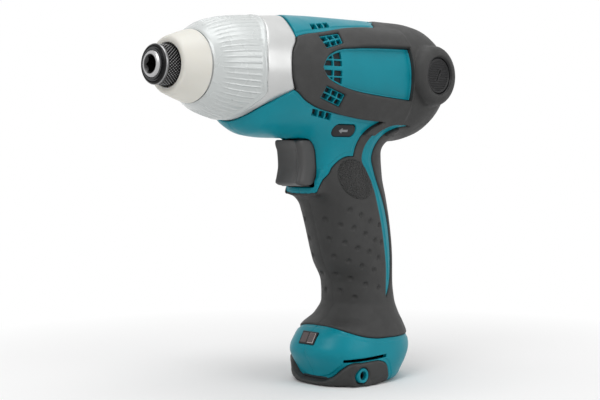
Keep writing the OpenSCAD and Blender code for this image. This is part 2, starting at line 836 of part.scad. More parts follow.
// Tapped inserts for a belt hook, one on each side of the base
module hook_inserts() {
    color(brass)
        for (side = [-1, 1])
            difference() {
                side_rod(side, hook_x, hook_z, insert_face_y - hook_insert_length, insert_face_y,
                    hook_outer_r);
                cross_rod(hook_x, hook_z, -cut, cut, hook_thread_r);
            }
}

// Window of the work light and the board behind it
module led_lens() {
    color(clear)
        lens_block(0, 0);
}
board_t = 1.6;
board_shares = [0.55, 0.6];
led_t = 1.4;
module led_board() {
    color([0.1, 0.35, 0.15])
        translate([lens_x, 0, lens_z])
            rotate([0, -lens_lean, 0]) {
                translate([
                    -lens_t / 2 - led_t - room - board_t,
                    -lens_width * board_shares[0],
                    -lens_height * board_shares[1]
                ])
                    cube([board_t, 2 * lens_width * board_shares[0], 2 * lens_height * board_shares[1]]);
                for (side = [-1, 1])
                    translate([-lens_t / 2 - led_t - room, side * lens_width / 4, 0])
                        rotate([0, 90, 0])
                            cylinder(h = led_t, r = lens_height / 4);
            }
}

// Gland where the cord enters the base
module cord_gland() {
    color(rubber)
        translate([gland_x, 0, gland_lift])
            difference() {
                cylinder(h = gland_height - gland_lift, r = gland_r);
                translate([0, 0, -room])
                    cylinder(h = gland_height + room, r = cord_r);
            }
}

// Trigger switch with the slot for the trigger's tongue
tongue_width = 6;
tongue_height = 8;
tongue_share = 0.2;
tongue_z = trigger_bottom_z + trigger_height * tongue_share;
tongue_reach = 1.4;
spring_share = 0.75;
spring_z = trigger_bottom_z + trigger_height * spring_share;
trigger_spring_r = 2.6;
trigger_spring_turns = 7;
trigger_wire_r = 0.4;
spring_pocket = 8;
module switch_body() {
    color(black)
        difference() {
            union() {
                translate([switch_rear_x, -switch_width / 2, trigger_bottom_z])
                    cube([switch_front_x - switch_rear_x, switch_width, trigger_height]);
                for (side = [-1, 1])
                    translate([switch_rear_x - board_t, side * switch_width / 4 - board_t, trigger_bottom_z])
                        cube([2 * board_t, 2 * board_t, trigger_height / 3]);
            }
            translate([
                switch_front_x - trigger_travel - 2 * tongue_reach,
                -tongue_width / 2 - room,
                tongue_z - room
            ])
                cube([cut, tongue_width + 2 * room, tongue_height + 2 * room]);
        }
}
suppressor_size = [12, 9, 15];
suppressor_share = 0.05;
lead_r = 0.4;
module noise_suppressor() {
    lead = suppressor_size[2] / 3;
    place_x = grip_depth * suppressor_share;
    place_z = trigger_bottom_z - rib_t - 2 * room - suppressor_size[2];
    color([0.75, 0.7, 0.2])
        translate([place_x, -suppressor_size[1] / 2, place_z]) {
            cube(suppressor_size);
            for (side = [-1, 1])
                translate([suppressor_size[0] * (2 + side) / 4, suppressor_size[1] / 2, -lead])
                    cylinder(h = lead + seat, r = lead_r);
        }
}

// Trigger with its tongue and the pocket for its spring
module trigger() {
    depth = trigger_front_x - trigger_rear_x;
    outline_shares = [
        [0, 1], [0.94, 1], [1, 0.94], [0.95, 0.75], [0.92, 0.5], [0.93, 0.25], [0.97, 0.09], [0.93, 0.02],
        [0.8, 0], [0.12, 0], [0, 0.12]
    ];
    color(dark)
        difference() {
            union() {
                translate([trigger_rear_x, trigger_width / 2, trigger_bottom_z])
                    rotate([90, 0, 0])
                        linear_extrude(trigger_width)
                            polygon([for (s = outline_shares) [s[0] * depth, s[1] * trigger_height]]);
                translate([switch_front_x - tongue_reach, -tongue_width / 2, tongue_z])
                    cube([trigger_rear_x - switch_front_x + 2 * tongue_reach, tongue_width, tongue_height]);
            }
            translate([trigger_rear_x - room, 0, spring_z])
                rotate([0, 90, 0])
                    cylinder(h = spring_pocket + room, r = trigger_spring_r + trigger_wire_r + room);
        }
}
module trigger_spring() {
    start = switch_front_x + run;
    end = trigger_rear_x + spring_pocket - run;
    color(bright)
        translate([start, 0, spring_z])
            rotate([0, 90, 0])
                coil(trigger_spring_r, trigger_wire_r, end - start, trigger_spring_turns);
}

// Reversing lever: a bar across the tool with a button at each end
lever_bar = 8;
lever_bar_t = 4;
lever_plate_t = lever_travel;
module reversing_lever() {
    color(black) {
        translate([lever_x - lever_bar / 2, -lever_y, lever_z - lever_bar_t / 2])
            cube([lever_bar, 2 * lever_y, lever_bar_t]);
        for (y = [-lever_y - lever_plate_t / 2, lever_y - lever_plate_t / 2])
            lever_plate(y, lever_plate_t, 0);
    }
}

// Anvil: hex socket in front, two striking lugs behind, pilot hole for the spindle
pilot_r = 3.5;
pilot_depth = 11;
lug_half_angle = 25;
hub_r = bush_r;
hub_overlap = 1;
ball_setback = 4.1;
ball_x = case_front_x + ball_setback;
ball_bite = 0.75;
ball_rest_r = socket_flats / 2 / cos(30) - ball_bite + bit_ball_r;
module anvil() {
    color(steel)
        difference() {
            union() {
                rod(journal_front_x - seat, tip_x, anvil_nose_r);
                rod(lug_rear_x, journal_front_x, journal_r);
                rod(lug_rear_x, lug_front_x, hub_r);
                for (turn = [0, 180])
                    sector(lug_rear_x, lug_front_x, lug_r, hub_r - hub_overlap,
                        90 - lug_half_angle + turn, 90 + lug_half_angle + turn);
            }
            at_axis(tip_x - socket_depth)
                rotate([0, 0, 30])
                    cylinder(h = cut, r = socket_flats / 2 / cos(30), $fn = 6);
            rod(lug_rear_x - room, lug_rear_x + pilot_depth, pilot_r + run);
            cross_rod(ball_x, axis_height, -cut, cut, bit_ball_r + run);
        }
}
module anvil_bush() {
    color(brass)
        tube(bush_rear_x, bush_front_x, bush_r, journal_r + run);
}
module anvil_washer() {
    color(cream)
        tube(lug_front_x + run, lug_front_x + run + washer_t, bush_r + washer_rim, journal_r + room);
}

// Quick-change sleeve with its locking land and cone, spring, washer and ring
land_gap = 0.4;
land_r = anvil_nose_r + land_gap;
sleeve_gap = 0.8;
sleeve_rear_x = case_front_x + sleeve_gap;
sleeve_front_x = sleeve_rear_x + sleeve_length;
cone_lead = 0.4;
cone_x = ball_x - cone_lead;
cone_slope = (ball_bite + land_gap) / (sleeve_travel - cone_lead);
shoulder_gap = 0.2;
shoulder_x = ball_x + bit_ball_r + shoulder_gap;
sleeve_wall = 1.1;
spring_room_r = sleeve_r - sleeve_wall;
sleeve_wire_r = 0.32;
sleeve_spring_turns = 2.5;
ring_washer_t = 0.7;
washer_recess = 0.9;
washer_rear_x = sleeve_front_x - washer_recess;
ring_rim = 0.9;
sleeve_edge = 0.6;
neck_share = 0.36;
module sleeve() {
    cone_r = land_r + cone_slope * (cone_x - sleeve_rear_x);
    flange_r = sleeve_r + sleeve_flange;
    neck_x = sleeve_rear_x + sleeve_length * neck_share;
    color(black)
        turned([
            [cone_r, sleeve_rear_x], [flange_r - sleeve_edge, sleeve_rear_x],
            [flange_r, sleeve_rear_x + sleeve_edge], [flange_r, neck_x - sleeve_edge],
            [sleeve_r, neck_x], [sleeve_r, sleeve_front_x - sleeve_edge],
            [sleeve_r - sleeve_edge, sleeve_front_x], [spring_room_r, sleeve_front_x],
            [spring_room_r, shoulder_x], [land_r, shoulder_x], [land_r, cone_x]
        ]);
}
module sleeve_spring() {
    radius = (land_r + spring_room_r) / 2;
    color(bright)
        at_axis(shoulder_x + run)
            coil(radius, sleeve_wire_r, washer_rear_x - shoulder_x - 2 * run, sleeve_spring_turns);
}
module sleeve_washer() {
    color(steel)
        tube(washer_rear_x, washer_rear_x + ring_washer_t, spring_room_r - room, anvil_nose_r + seat);
}
module sleeve_ring() {
    start = washer_rear_x + ring_washer_t + seat;
    color(black)
        tube(start, start + ring_washer_t, anvil_nose_r + ring_rim, anvil_nose_r + seat);
}
module bit_ball(side) {
    color(bright)
        translate([ball_x, side * ball_rest_r, axis_height])
            sphere(r = bit_ball_r);
}
module bit_ball_left() {
    bit_ball(1);
}
module bit_ball_right() {
    bit_ball(-1);
}

// Hammer: striking lugs in front, spring pocket behind, ball seats in its bore
hammer_wall = 5;
lug_end_gap = 0.4;
hammer_lug_height = lug_length - strike_gap - lug_end_gap;
hammer_lug_angle = 44;
lug_clearance = 2;
pocket_r = 15.8;
pocket_hub_r = 9.2;
pocket_floor_x = hammer_face_x - hammer_wall;
cam_x = hammer_face_x - hammer_wall / 2;
thrust_ball_r = 1.3;
ball_pitch_share = 1.2;
module hammer() {
    lug_end = 90 - lug_half_angle - lug_clearance;
    color(steel)
        difference() {
            union() {
                rod(hammer_rear_x, hammer_face_x, hammer_r);
                for (turn = [0, 180])
                    sector(hammer_face_x - seat, hammer_face_x + strike_gap + hammer_lug_height, lug_r,
                        hub_r + room, lug_end - hammer_lug_angle + turn, lug_end + turn);
            }
            rod(hammer_rear_x - room, hammer_face_x + room, spindle_r + run);
            tube(hammer_rear_x - room, pocket_floor_x, pocket_r, pocket_hub_r);
            for (turn = [0, 180])
                cam_place(turn, 0, 0)
                    sphere(r = cam_ball_r + run);
        }
}
// A place on the cam path: start angle, turn from it and way back along the axis
module cam_place(turn, angle, back) {
    at_axis(cam_x - back)
        rotate([0, 0, turn + angle])
            translate([0, spindle_r, 0])
                children();
}
module cam_balls() {
    color(bright)
        for (turn = [0, 180])
            cam_place(turn, 0, 0)
                sphere(r = cam_ball_r);
}
hammer_washer_t = 1.4;
thrust_x = pocket_floor_x - run - thrust_ball_r;
hammer_washer_x = thrust_x - thrust_ball_r - run - hammer_washer_t;
module hammer_washer() {
    color(bright)
        tube(hammer_washer_x, hammer_washer_x + hammer_washer_t, pocket_r - room, pocket_hub_r + room);
}
module hammer_balls() {
    orbit = (pocket_r + pocket_hub_r) / 2;
    count = floor(360 / (2 * asin(thrust_ball_r * ball_pitch_share / orbit)));
    color(bright)
        for (i = [0 : count - 1])
            at_axis(thrust_x)
                rotate([0, 0, 360 * i / count])
                    translate([orbit, 0, 0])
                        sphere(r = thrust_ball_r);
}
hammer_spring_turns = 4;
module hammer_spring() {
    length = hammer_washer_x - carrier_front_x - 2 * run;
    color(steel)
        at_axis(carrier_front_x + run)
            coil((pocket_r + pocket_hub_r) / 2, hammer_wire_r, length, hammer_spring_turns);
}

// Spindle: pilot in front, cam grooves, planet carrier and bearing hub behind
carrier_r = 16.5;
sun_air = 0.7;
sun_room_r = sun_tip_r + sun_air;
groove_gap = 0.4;
groove_steps = 4;
module spindle() {
    color(steel)
        difference() {
            union() {
                rod(carrier_rear_x, lug_rear_x + pilot_depth - room, pilot_r);
                rod(carrier_rear_x, hammer_face_x, spindle_r);
                rod(carrier_rear_x, carrier_front_x, carrier_r);
                rod(hub_rear_x, carrier_rear_x + seat, spindle_hub_r);
            }
            rod(hub_rear_x - room, planet_front_x + plate_t / 2, sun_room_r);
            each_planet()
                rod(planet_rear_x - room, planet_front_x + room, planet_tip_r + room);
            each_planet()
                rod(carrier_rear_x - room, carrier_front_x + room, planet_pin_r + seat);
            for (turn = [0, 180])
                for (k = [-groove_steps : groove_steps])
                    cam_place(turn, k * hammer_turn / groove_steps, abs(k) * hammer_travel / groove_steps)
                        sphere(r = cam_ball_r + groove_gap);
        }
}
module each_planet() {
    for (k = [0 : planets - 1])
        one_planet(k)
            children();
}
// Moves what is made on the spindle axis to a planet's place
module one_planet(k) {
    a = first_planet_angle + 360 * k / planets;
    translate([0, planet_orbit * sin(a), -planet_orbit * cos(a)])
        children();
}
module planet_pins() {
    color(bright)
        each_planet()
            rod(carrier_rear_x + seat, carrier_front_x - seat, planet_pin_r);
}

// Involute gear outline: teeth, tip and root radii, and the thinning of each flank
function involute_angle(base_r, r) =
    let (a = acos(min(1, base_r / r)))
    tan(a) * 180 / PI - a;
function flank_angle(teeth, r, thin) =
    let (pitch_r = tooth * teeth / 2, base_r = pitch_r * cos(pressure_angle))
    90 / teeth - thin / pitch_r * 180 / PI
        + involute_angle(base_r, pitch_r) - involute_angle(base_r, max(r, base_r));
function gear_outline(teeth, tip_r, root_r, thin) =
    let (
        base_r = tooth * teeth / 2 * cos(pressure_angle),
        low_r = max(root_r, base_r),
        radii = concat([root_r], [for (k = [0 : flank_steps]) low_r + (tip_r - low_r) * k / flank_steps])
    )
    [
        for (i = [0 : teeth - 1])
            let (c = 360 * i / teeth)
            each concat(
                [for (k = [0 : len(radii) - 1]) polar(radii[k], c - flank_angle(teeth, radii[k], thin))],
                [for (k = [len(radii) - 1 : -1 : 0]) polar(radii[k], c + flank_angle(teeth, radii[k], thin))]
            )
    ];
function polar(r, a) = [r * cos(a), r * sin(a)];
thinning = backlash_share * tooth;
module sun_outline() {
    polygon(gear_outline(sun_teeth, sun_tip_r, tooth * (sun_teeth / 2 - dedendum_share), thinning));
}
module planet_gear(k) {
    a = first_planet_angle + 360 * k / planets;
    sun_pitch = 360 / sun_teeth;
    offset_angle = round(a / sun_pitch) * sun_pitch - a;
    turn = a + 180 - offset_angle * sun_teeth / planet_teeth + 180 / planet_teeth;
    root_r = tooth * (planet_teeth / 2 - dedendum_share);
    color(steel)
        one_planet(k)
            at_axis(planet_rear_x)
                rotate([0, 0, turn])
                    difference() {
                        linear_extrude(planet_width)
                            polygon(gear_outline(planet_teeth, planet_tip_r, root_r, thinning));
                        translate([0, 0, -room])
                            cylinder(h = planet_width + 2 * room, r = planet_pin_r + run);
                    }
}
module planet_gear_1() {
    planet_gear(0);
}
module planet_gear_2() {
    planet_gear(1);
}
module planet_gear_3() {
    planet_gear(2);
}
module ring_gear() {
    tip_r = tooth * (ring_teeth / 2 + dedendum_share);
    root_r = tooth * (ring_teeth / 2 - addendum_share);
    color(steel)
        difference() {
            rod(ring_gear_rear_x, ring_gear_front_x, ring_r);
            at_axis(ring_gear_rear_x - room)
                linear_extrude(ring_gear_front_x - ring_gear_rear_x + 2 * room)
                    polygon(gear_outline(ring_teeth, tip_r, root_r, -thinning));
        }
}

// Plate that holds the spindle bearing in front and the motor bearing behind
module bearing_box() {
    color([0.25, 0.25, 0.27])
        difference() {
            union() {
                rod(box_rear_x, box_front_x, ring_r);
                tube(box_front_x - seat, ring_gear_rear_x - seat, ring_r, carrier_r + room);
            }
            rod(spindle_bearing_x - seat, box_front_x + room, spindle_bearing_r + seat);
            rod(box_rear_x - room, front_bearing_x + motor_bearing_width + seat, front_bearing_r + seat);
            rod(box_rear_x, box_front_x, front_bearing_r - rib_t);
        }
}

// Ball bearings: an outer ring, an inner ring and the balls between them
race_share = 0.3;
shoulder_share = 0.55;
function ball_orbit(r_in, r_out) = (r_in + r_out) / 2;
function race_ball_r(r_in, r_out) = race_share * (r_out - r_in);
module race(x0, width, orbit, ball_r) {
    at_axis(x0 + width / 2)
        rotate_extrude()
            translate([orbit, 0])
                circle(r = ball_r + run);
}
module outer_race(x0, width, r_in, r_out) {
    orbit = ball_orbit(r_in, r_out);
    ball_r = race_ball_r(r_in, r_out);
    color(bright)
        difference() {
            tube(x0, x0 + width, r_out, orbit + shoulder_share * ball_r);
            race(x0, width, orbit, ball_r);
        }
}
module inner_race(x0, width, r_in, r_out) {
    orbit = ball_orbit(r_in, r_out);
    ball_r = race_ball_r(r_in, r_out);
    color(bright)
        difference() {
            tube(x0, x0 + width, orbit - shoulder_share * ball_r, r_in + seat);
            race(x0, width, orbit, ball_r);
        }
}
module race_balls(x0, width, r_in, r_out) {
    orbit = ball_orbit(r_in, r_out);
    ball_r = race_ball_r(r_in, r_out);
    count = floor(360 / (2 * asin(ball_pitch_share * ball_r / orbit)));
    for (i = [0 : count - 1])
        at_axis(x0 + width / 2)
            rotate([0, 0, 360 * i / count])
                translate([orbit, 0, 0])
                    sphere(r = ball_r);
}
module spindle_bearing_outer() {
    outer_race(spindle_bearing_x, spindle_bearing_width, spindle_hub_r, spindle_bearing_r);
}
module spindle_bearing_inner() {
    inner_race(spindle_bearing_x, spindle_bearing_width, spindle_hub_r, spindle_bearing_r);
}
module spindle_bearing_balls() {
    color(steel)
        race_balls(spindle_bearing_x, spindle_bearing_width, spindle_hub_r, spindle_bearing_r);
}
module front_bearing_outer() {
    outer_race(front_bearing_x, motor_bearing_width, shaft_r, front_bearing_r);
}
module front_bearing_inner() {
    inner_race(front_bearing_x, motor_bearing_width, shaft_r, front_bearing_r);
}
module rear_bearing_outer() {
    outer_race(rear_bearing_x, motor_bearing_width, rear_shaft_r, rear_bearing_r);
}
module rear_bearing_inner() {
    inner_race(rear_bearing_x, motor_bearing_width, rear_shaft_r, rear_bearing_r);
}
module motor_bearing_balls() {
    color(steel) {
        race_balls(front_bearing_x, motor_bearing_width, shaft_r, front_bearing_r);
        race_balls(rear_bearing_x, motor_bearing_width, rear_shaft_r, rear_bearing_r);
    }
}
module rear_rubber_ring() {
    color(rubber)
        tube(rear_bearing_x, rear_bearing_x + motor_bearing_width,
            rear_bearing_r + rubber_t, rear_bearing_r + seat);
}

// Motor: shaft with the sun pinion, core, windings, commutator and fan
module armature_shaft() {
    pinion_root_r = tooth * (sun_teeth / 2 - dedendum_share);
    color(bright)
        union() {
            rod(commutator_rear_x - rear_shoulder, front_bearing_x + motor_bearing_width, shaft_r);
            rod(rear_bearing_x - seat, commutator_rear_x, rear_shaft_r);
            rod(front_bearing_x, planet_front_x, pinion_root_r);
            at_axis(planet_rear_x)
                linear_extrude(planet_width)
                    sun_outline();
        }
}
slots = 12;
slot_w = 2.2;
slot_root_share = 0.55;
winding_share = 0.86;
module armature_core() {
    color([0.4, 0.4, 0.43])
        difference() {
            rod(field_rear_x, field_front_x, core_r);
            rod(field_rear_x - room, field_front_x + room, shaft_r + seat);
            for (i = [0 : slots - 1])
                at_axis(field_rear_x - room)
                    rotate([0, 0, 360 * i / slots])
                        translate([core_r * slot_root_share, -slot_w / 2, 0])
                            cube([core_r, slot_w, core_length + 2 * room]);
        }
}
module armature_windings() {
    winding_r = core_r * winding_share;
    root_r = core_r * slot_root_share + run;
    color(copper) {
        tube(field_front_x + seat, field_front_x + winding_end, winding_r, shaft_r + seat);
        tube(field_rear_x - winding_tail, field_rear_x - seat, winding_r, shaft_r + seat);
        for (i = [0 : slots - 1])
            at_axis(field_rear_x - room)
                rotate([0, 0, 360 * i / slots])
                    translate([root_r, -slot_w / 2 + run, 0])
                        cube([winding_r - root_r - room, slot_w - 2 * run, core_length + 2 * room]);
    }
}
bars = 24;
bar_depth = 1;
module commutator() {
    color(copper)
        difference() {
            rod(commutator_rear_x, commutator_front_x, commutator_r);
            rod(commutator_rear_x - room, commutator_front_x + room, shaft_r + seat);
            for (i = [0 : bars - 1])
                at_axis(commutator_rear_x - room)
                    rotate([0, 0, 360 * i / bars])
                        translate([commutator_r - bar_depth, -room / 2, 0])
                            cube([commutator_r, room, commutator_length + 2 * room]);
        }
}
blades = 16;
blade_t = 1.2;
blade_shares = [0.55, 0.43];
fan_hub_wall = 4;
module cooling_fan() {
    hub = shaft_r + fan_hub_wall;
    color(black)
        difference() {
            union() {
                rod(fan_rear_x, fan_front_x, hub);
                rod(fan_front_x - 2 * blade_t, fan_front_x - blade_t, fan_r);
                for (i = [0 : blades - 1])
                    at_axis(fan_rear_x)
                        rotate([0, 0, 360 * i / blades])
                            translate([fan_r * blade_shares[0], -blade_t / 2, 0])
                                cube([fan_r * blade_shares[1], blade_t, fan_width - 1.5 * blade_t]);
            }
            rod(fan_rear_x - room, fan_front_x + room, shaft_r + seat);
        }
}
baffle_rim = 2.2;
module baffle_plate() {
    color(black)
        tube(baffle_rear_x, baffle_rear_x + baffle_t, field_r, core_r + baffle_rim);
}

// Field: laminated core with two poles and a coil round each
field_r = head_radius - wall - room;
field_yoke = 4.2;
pole_half_angle = 58;
coil_from = 60;
coil_to = 87;
air_gap = 0.4;
module field_core() {
    color([0.45, 0.45, 0.48])
        union() {
            tube(field_rear_x, field_front_x, field_r, field_r - field_yoke);
            for (turn = [0, 180])
                sector(field_rear_x, field_front_x, field_r - field_yoke + room, core_r + air_gap,
                    90 - pole_half_angle + turn, 90 + pole_half_angle + turn);
        }
}
module field_coils() {
    outer = field_r - field_yoke - room;
    inner = core_r + 2 * air_gap;
    color(copper)
        for (turn = [0, 180])
            union() {
                for (way = [-1, 1])
                    sector(field_rear_x - coil_end, field_front_x + coil_end, outer, inner,
                        90 + turn + min(way * coil_from, way * coil_to),
                        90 + turn + max(way * coil_from, way * coil_to));
                for (x = [field_rear_x - coil_end, field_front_x + room])
                    sector(x, x + coil_end - room, outer, inner, 90 - coil_to + turn, 90 + coil_to + turn);
            }
}

// Brush gear: holders, carbon brushes and their springs on both sides
brush_w = 6;
brush_h = 9;
brush_length = 9;
brush_face = commutator_r + run;
holder_gap = 2;
holder_root_y = commutator_r + holder_gap;
brush_spring_share = 0.36;
brush_wire_r = 0.35;
brush_spring_turns = 4;
module each_brush() {
    for (side = [-1, 1])
        translate([brush_x, 0, axis_height])
            rotate([-90 * side, 0, 0])
                children();
}
module brush_holders() {
    color(brass)
        each_brush()
            difference() {
                translate([0, 0, holder_root_y])
                    cylinder(h = cap_seat_y - holder_root_y, r = holder_r);
                translate([-brush_w / 2 - run, -brush_h / 2 - run, 0])
                    cube([brush_w + 2 * run, brush_h + 2 * run, cut]);
            }
}
module carbon_brushes() {
    color([0.15, 0.15, 0.15])
        difference() {
            each_brush()
                translate([-brush_w / 2, -brush_h / 2, commutator_r - holder_gap])
                    cube([brush_w, brush_h, brush_length + holder_gap]);
            rod(commutator_rear_x - cut, commutator_front_x + cut, brush_face);
        }
}
module brush_springs() {
    start = commutator_r + brush_length + run;
    color(bright)
        each_brush()
            translate([0, 0, start])
                coil(brush_w * brush_spring_share, brush_wire_r, cap_seat_y - start, brush_spring_turns);
}

housing_left();
housing_right();
overmould_left();
overmould_right();
foot_boot();
hammer_case();
case_cover();
nose_bumper();
brush_caps();
housing_screws();
hook_inserts();
led_lens();
led_board();
cord_gland();
switch_body();
noise_suppressor();
trigger();
trigger_spring();
reversing_lever();
anvil();
anvil_bush();
anvil_washer();
sleeve();
sleeve_spring();
sleeve_washer();
sleeve_ring();
bit_ball_left();
bit_ball_right();
hammer();
cam_balls();
hammer_washer();
hammer_balls();
hammer_spring();
spindle();
planet_pins();
planet_gear_1();
planet_gear_2();
planet_gear_3();
ring_gear();
bearing_box();
spindle_bearing_outer();
spindle_bearing_inner();
spindle_bearing_balls();
front_bearing_outer();
front_bearing_inner();
rear_bearing_outer();
rear_bearing_inner();
motor_bearing_balls();
rear_rubber_ring();
armature_shaft();
armature_core();
armature_windings();
commutator();
cooling_fan();
baffle_plate();
field_core();
field_coils();
brush_holders();
carbon_brushes();
brush_springs();
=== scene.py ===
"""Looks of a compact impact driver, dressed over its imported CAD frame."""
import math
import bpy
import numpy as np
from mathutils import Matrix, Vector


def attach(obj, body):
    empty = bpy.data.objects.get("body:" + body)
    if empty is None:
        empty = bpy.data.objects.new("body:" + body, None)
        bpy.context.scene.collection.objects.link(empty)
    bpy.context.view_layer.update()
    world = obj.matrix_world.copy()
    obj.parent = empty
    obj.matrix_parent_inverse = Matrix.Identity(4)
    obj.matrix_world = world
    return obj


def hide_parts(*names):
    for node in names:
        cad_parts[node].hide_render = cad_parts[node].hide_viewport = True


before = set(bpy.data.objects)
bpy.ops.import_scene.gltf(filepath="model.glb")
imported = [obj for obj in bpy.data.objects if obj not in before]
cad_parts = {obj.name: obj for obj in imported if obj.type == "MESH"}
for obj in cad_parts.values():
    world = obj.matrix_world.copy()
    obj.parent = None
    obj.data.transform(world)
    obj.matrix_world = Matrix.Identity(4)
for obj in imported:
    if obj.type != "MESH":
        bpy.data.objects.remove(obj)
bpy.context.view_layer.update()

MM = 0.001

# Sizes in millimetres; the main ones are the same as in the part's source
AXIS = 159.0
NOSE = 129.0
TAIL = 57.62
HEAD_R = 28.5
DEPTH = 46.0
WIDTH = 35.0
PROUD = 0.39
BRUSH_X = -36.42
BOSS_R, BOSS_ROUND, BOSS_Y = 15.6, 5.0, 33.5
CAP_R, CAP_T, CAP_SEAT = 9.3, 3.0, 29.3
TRIGGER_Z0, TRIGGER_Z1, TRIGGER_HALF = 101.65, 125.2, 9.25
HOOK = (12.7, 5.6)
LENS = (26.17, 23.0, 31.0)
LEVER = (20.47, 129.65)
# Thumb pad on the handle: along, up, half length and half height, and its slant
PAD = (10.5, 105.2, 13.0, 9.0)
PAD_COS, PAD_SIN = 0.87, 0.49
# Flat sides of the boot, gap between neighbours on the skin
PAD_Y = 24.6
GAP = 0.14
# Where head and handle end inside each other, and how their parts blend
HEAD_FRONT, GRIP_TOP = 84.0, 142.0
TAIL_ROUND, FOOT_ROUND = 4.0, 2.0
NECK_BLEND, DRUM_BLEND, LIP_BLEND, CHEEK_BLEND = 7.0, 1.0, 4.0, 1.5
# Lip under the trigger: along, up and radius at its tip and root
LIP_TIP, LIP_ROOT = (32.5, 99.1, 1.5), (25.0, 98.5, 3.0)
LIP_HALF, LIP_ROUND, LIP_BOW = 11.2, 3.0, 0.022
# Walls beside the trigger, hollowed by a round with its centre and radius
CHEEK_HOLLOW = (40.5, 110.5, 9.2)
CHEEK_X, CHEEK_Z = (14.0, 34.6), (98.0, 110.0)
CHEEK_HALF, CHEEK_ROUND, CHEEK_BOW = 12.1, 1.2, 0.012
# Sleeve's knurl, and the anvil's socket
KNURL_X, KNURL_R, KNURL_EASE = (117.7, 125.4), 9.22, 0.3
KNURLS, KNURL_LEAN = 40, 0.55
KNURL_HIGH, KNURL_DEEP = 0.75, 0.5
SOCKET, SOCKET_MOUTH, SOCKET_SLOPE = 3.35, 4.35, 0.6
LUG_X, LUG_R, LUG_HALF_TURN = (89.5, 96.5), (9.3, 16.5), 0.436
SCREW_HEAD, SCREW_HOLE, SCREW_SUNK = 2.75, 3.3, 1.2
# Openings in the skin: half sizes and rounding, or a radius
TRIGGER_HOLE = (TRIGGER_HALF + 0.4, 12.2, 1.0)
LEVER_HOLE = (7.9, 3.2, 3.2)
LENS_HOLE = (5.35, 3.65, 0.7)
GLAND_X, GLAND_R, GLAND_TOP = -16.1, 6.8, 3.0
CAP_HOLE, RING_HOLE = CAP_R + 0.7, 4.05
# How far ahead, and how far out to the side, an opening starts
AHEAD = 18.0
SIDE_FROM = {"lever": 10.0, "slot": 8.0, "cap": 26.0, "ring": 12.0, "grid": 6.0, "fan": 8.0, "screw": 8.0}
FRONT_FOOT = 120.5
OUTSIDE = -50.0
# Eight vents in the round front of the side plate
FAN_X, FAN_AXIS = ((31.4, 36.9), (37.8, 45.0)), 160.0
FAN_Z = ((4.7, 10.5), (1.1, 3.9), (-3.9, -1.1), (-10.5, -4.7))
# Shelf beside the soft cover, and the sunk side plate
SHELF_WIDE, SHELF_DEEP, SHELF_EASE = 2.1, 0.35, 0.3
PLATE_DEEP, PLATE_EASE = 1.2, 0.6
# Thick rim of the soft cover on the head, and where it fades out in front and behind
RAIL_HIGH, RAIL_FOOT = 1.5, 128.0
RAIL_FRONT, RAIL_FRONT_EASE, RAIL_REAR, RAIL_REAR_EASE = 38.0, 30.0, -22.0, 2.0
PAD_PROUD, PAD_EASE = 0.3, 0.07
DIMPLE_DEEP, DIMPLE_R, DIMPLED_Z = 0.9, 1.5, (40.0, 93.0)
# The base draws in towards the foot: depth, height, and along where it starts and over what length
BOW_TOP = 17.0
BOW_FRONT, BOW_REAR = (3.2, 13.0, 4.0, 18.0), (1.3, 16.0, 6.0, 14.0)
# Flat pads on the boot's sides: middle, half length and how softly they end
BOOT_FLAT_X, BOOT_FLAT_HALF, BOOT_FLAT_EASE = 8.5, 11.5, 4.0
# How deep the walls of the skin's pieces go
SHELL_DEPTH, SOFT_DEPTH, BOOT_DEPTH, LINING_DEPTH, TRIGGER_ROOM = 2.3, 1.9, 6.5, 2.5, 3.0
# Ribs of the nose's cover, and the bead along its rear edge
RIBS, RIB_HIGH, RIB_WIDE = 54, 0.35, 0.36
RIB_REAR, RIB_FRONT = 3.0, 103.5
BEAD_HIGH, BEAD_AT, BEAD_HALF = 0.6, 1.3, 1.2
# Brush cap: turn of its slot, half sizes of the slot and of the flat round it, ribs
CAP_TURN = 62.0
CAP_SLOT, CAP_FLAT = (3.4, 0.62, 0.3), (4.2, 1.25, 0.9)
CAP_PITCH, CAP_RIB, CAP_SLOT_DEEP, CAP_RIB_R = 1.25, 0.45, 1.1, 8.0
# Trigger's face: half width between its ridges, dish, and rounding of the ridges
RIDGE, DISH, RIDGE_DEEP = 7.0, 2.0, 3.6
# Grid on which the skin is found
SKIN_LOW, SKIN_HIGH, SKIN_STEP = (-61.0, -37.0, -3.0), (86.0, 37.0, 192.0), 1.3

# Head along the tool: share of its length, then top, bottom and half width in head radii,
# and the power of its section
HEAD = [
    (-1.00, 0.50, 0.50, 0.50, 2.0), (-0.98, 0.66, 0.68, 0.68, 2.0), (-0.93, 0.78, 0.84, 0.81, 2.1),
    (-0.85, 0.88, 0.99, 0.91, 2.1), (-0.74, 0.97, 1.11, 0.97, 2.1), (-0.55, 1.01, 1.19, 1.00, 2.1),
    (-0.20, 1.01, 1.21, 1.00, 2.1), (0.20, 1.00, 1.175, 1.00, 2.1), (0.36, 0.98, 1.165, 0.98, 2.1),
    (0.47, 0.95, 1.155, 0.95, 2.1), (0.55, 0.93, 1.12, 0.90, 2.1), (0.61, 0.90, 1.02, 0.79, 2.0),
    (0.645, 0.87, 0.88, 0.60, 2.0),
]
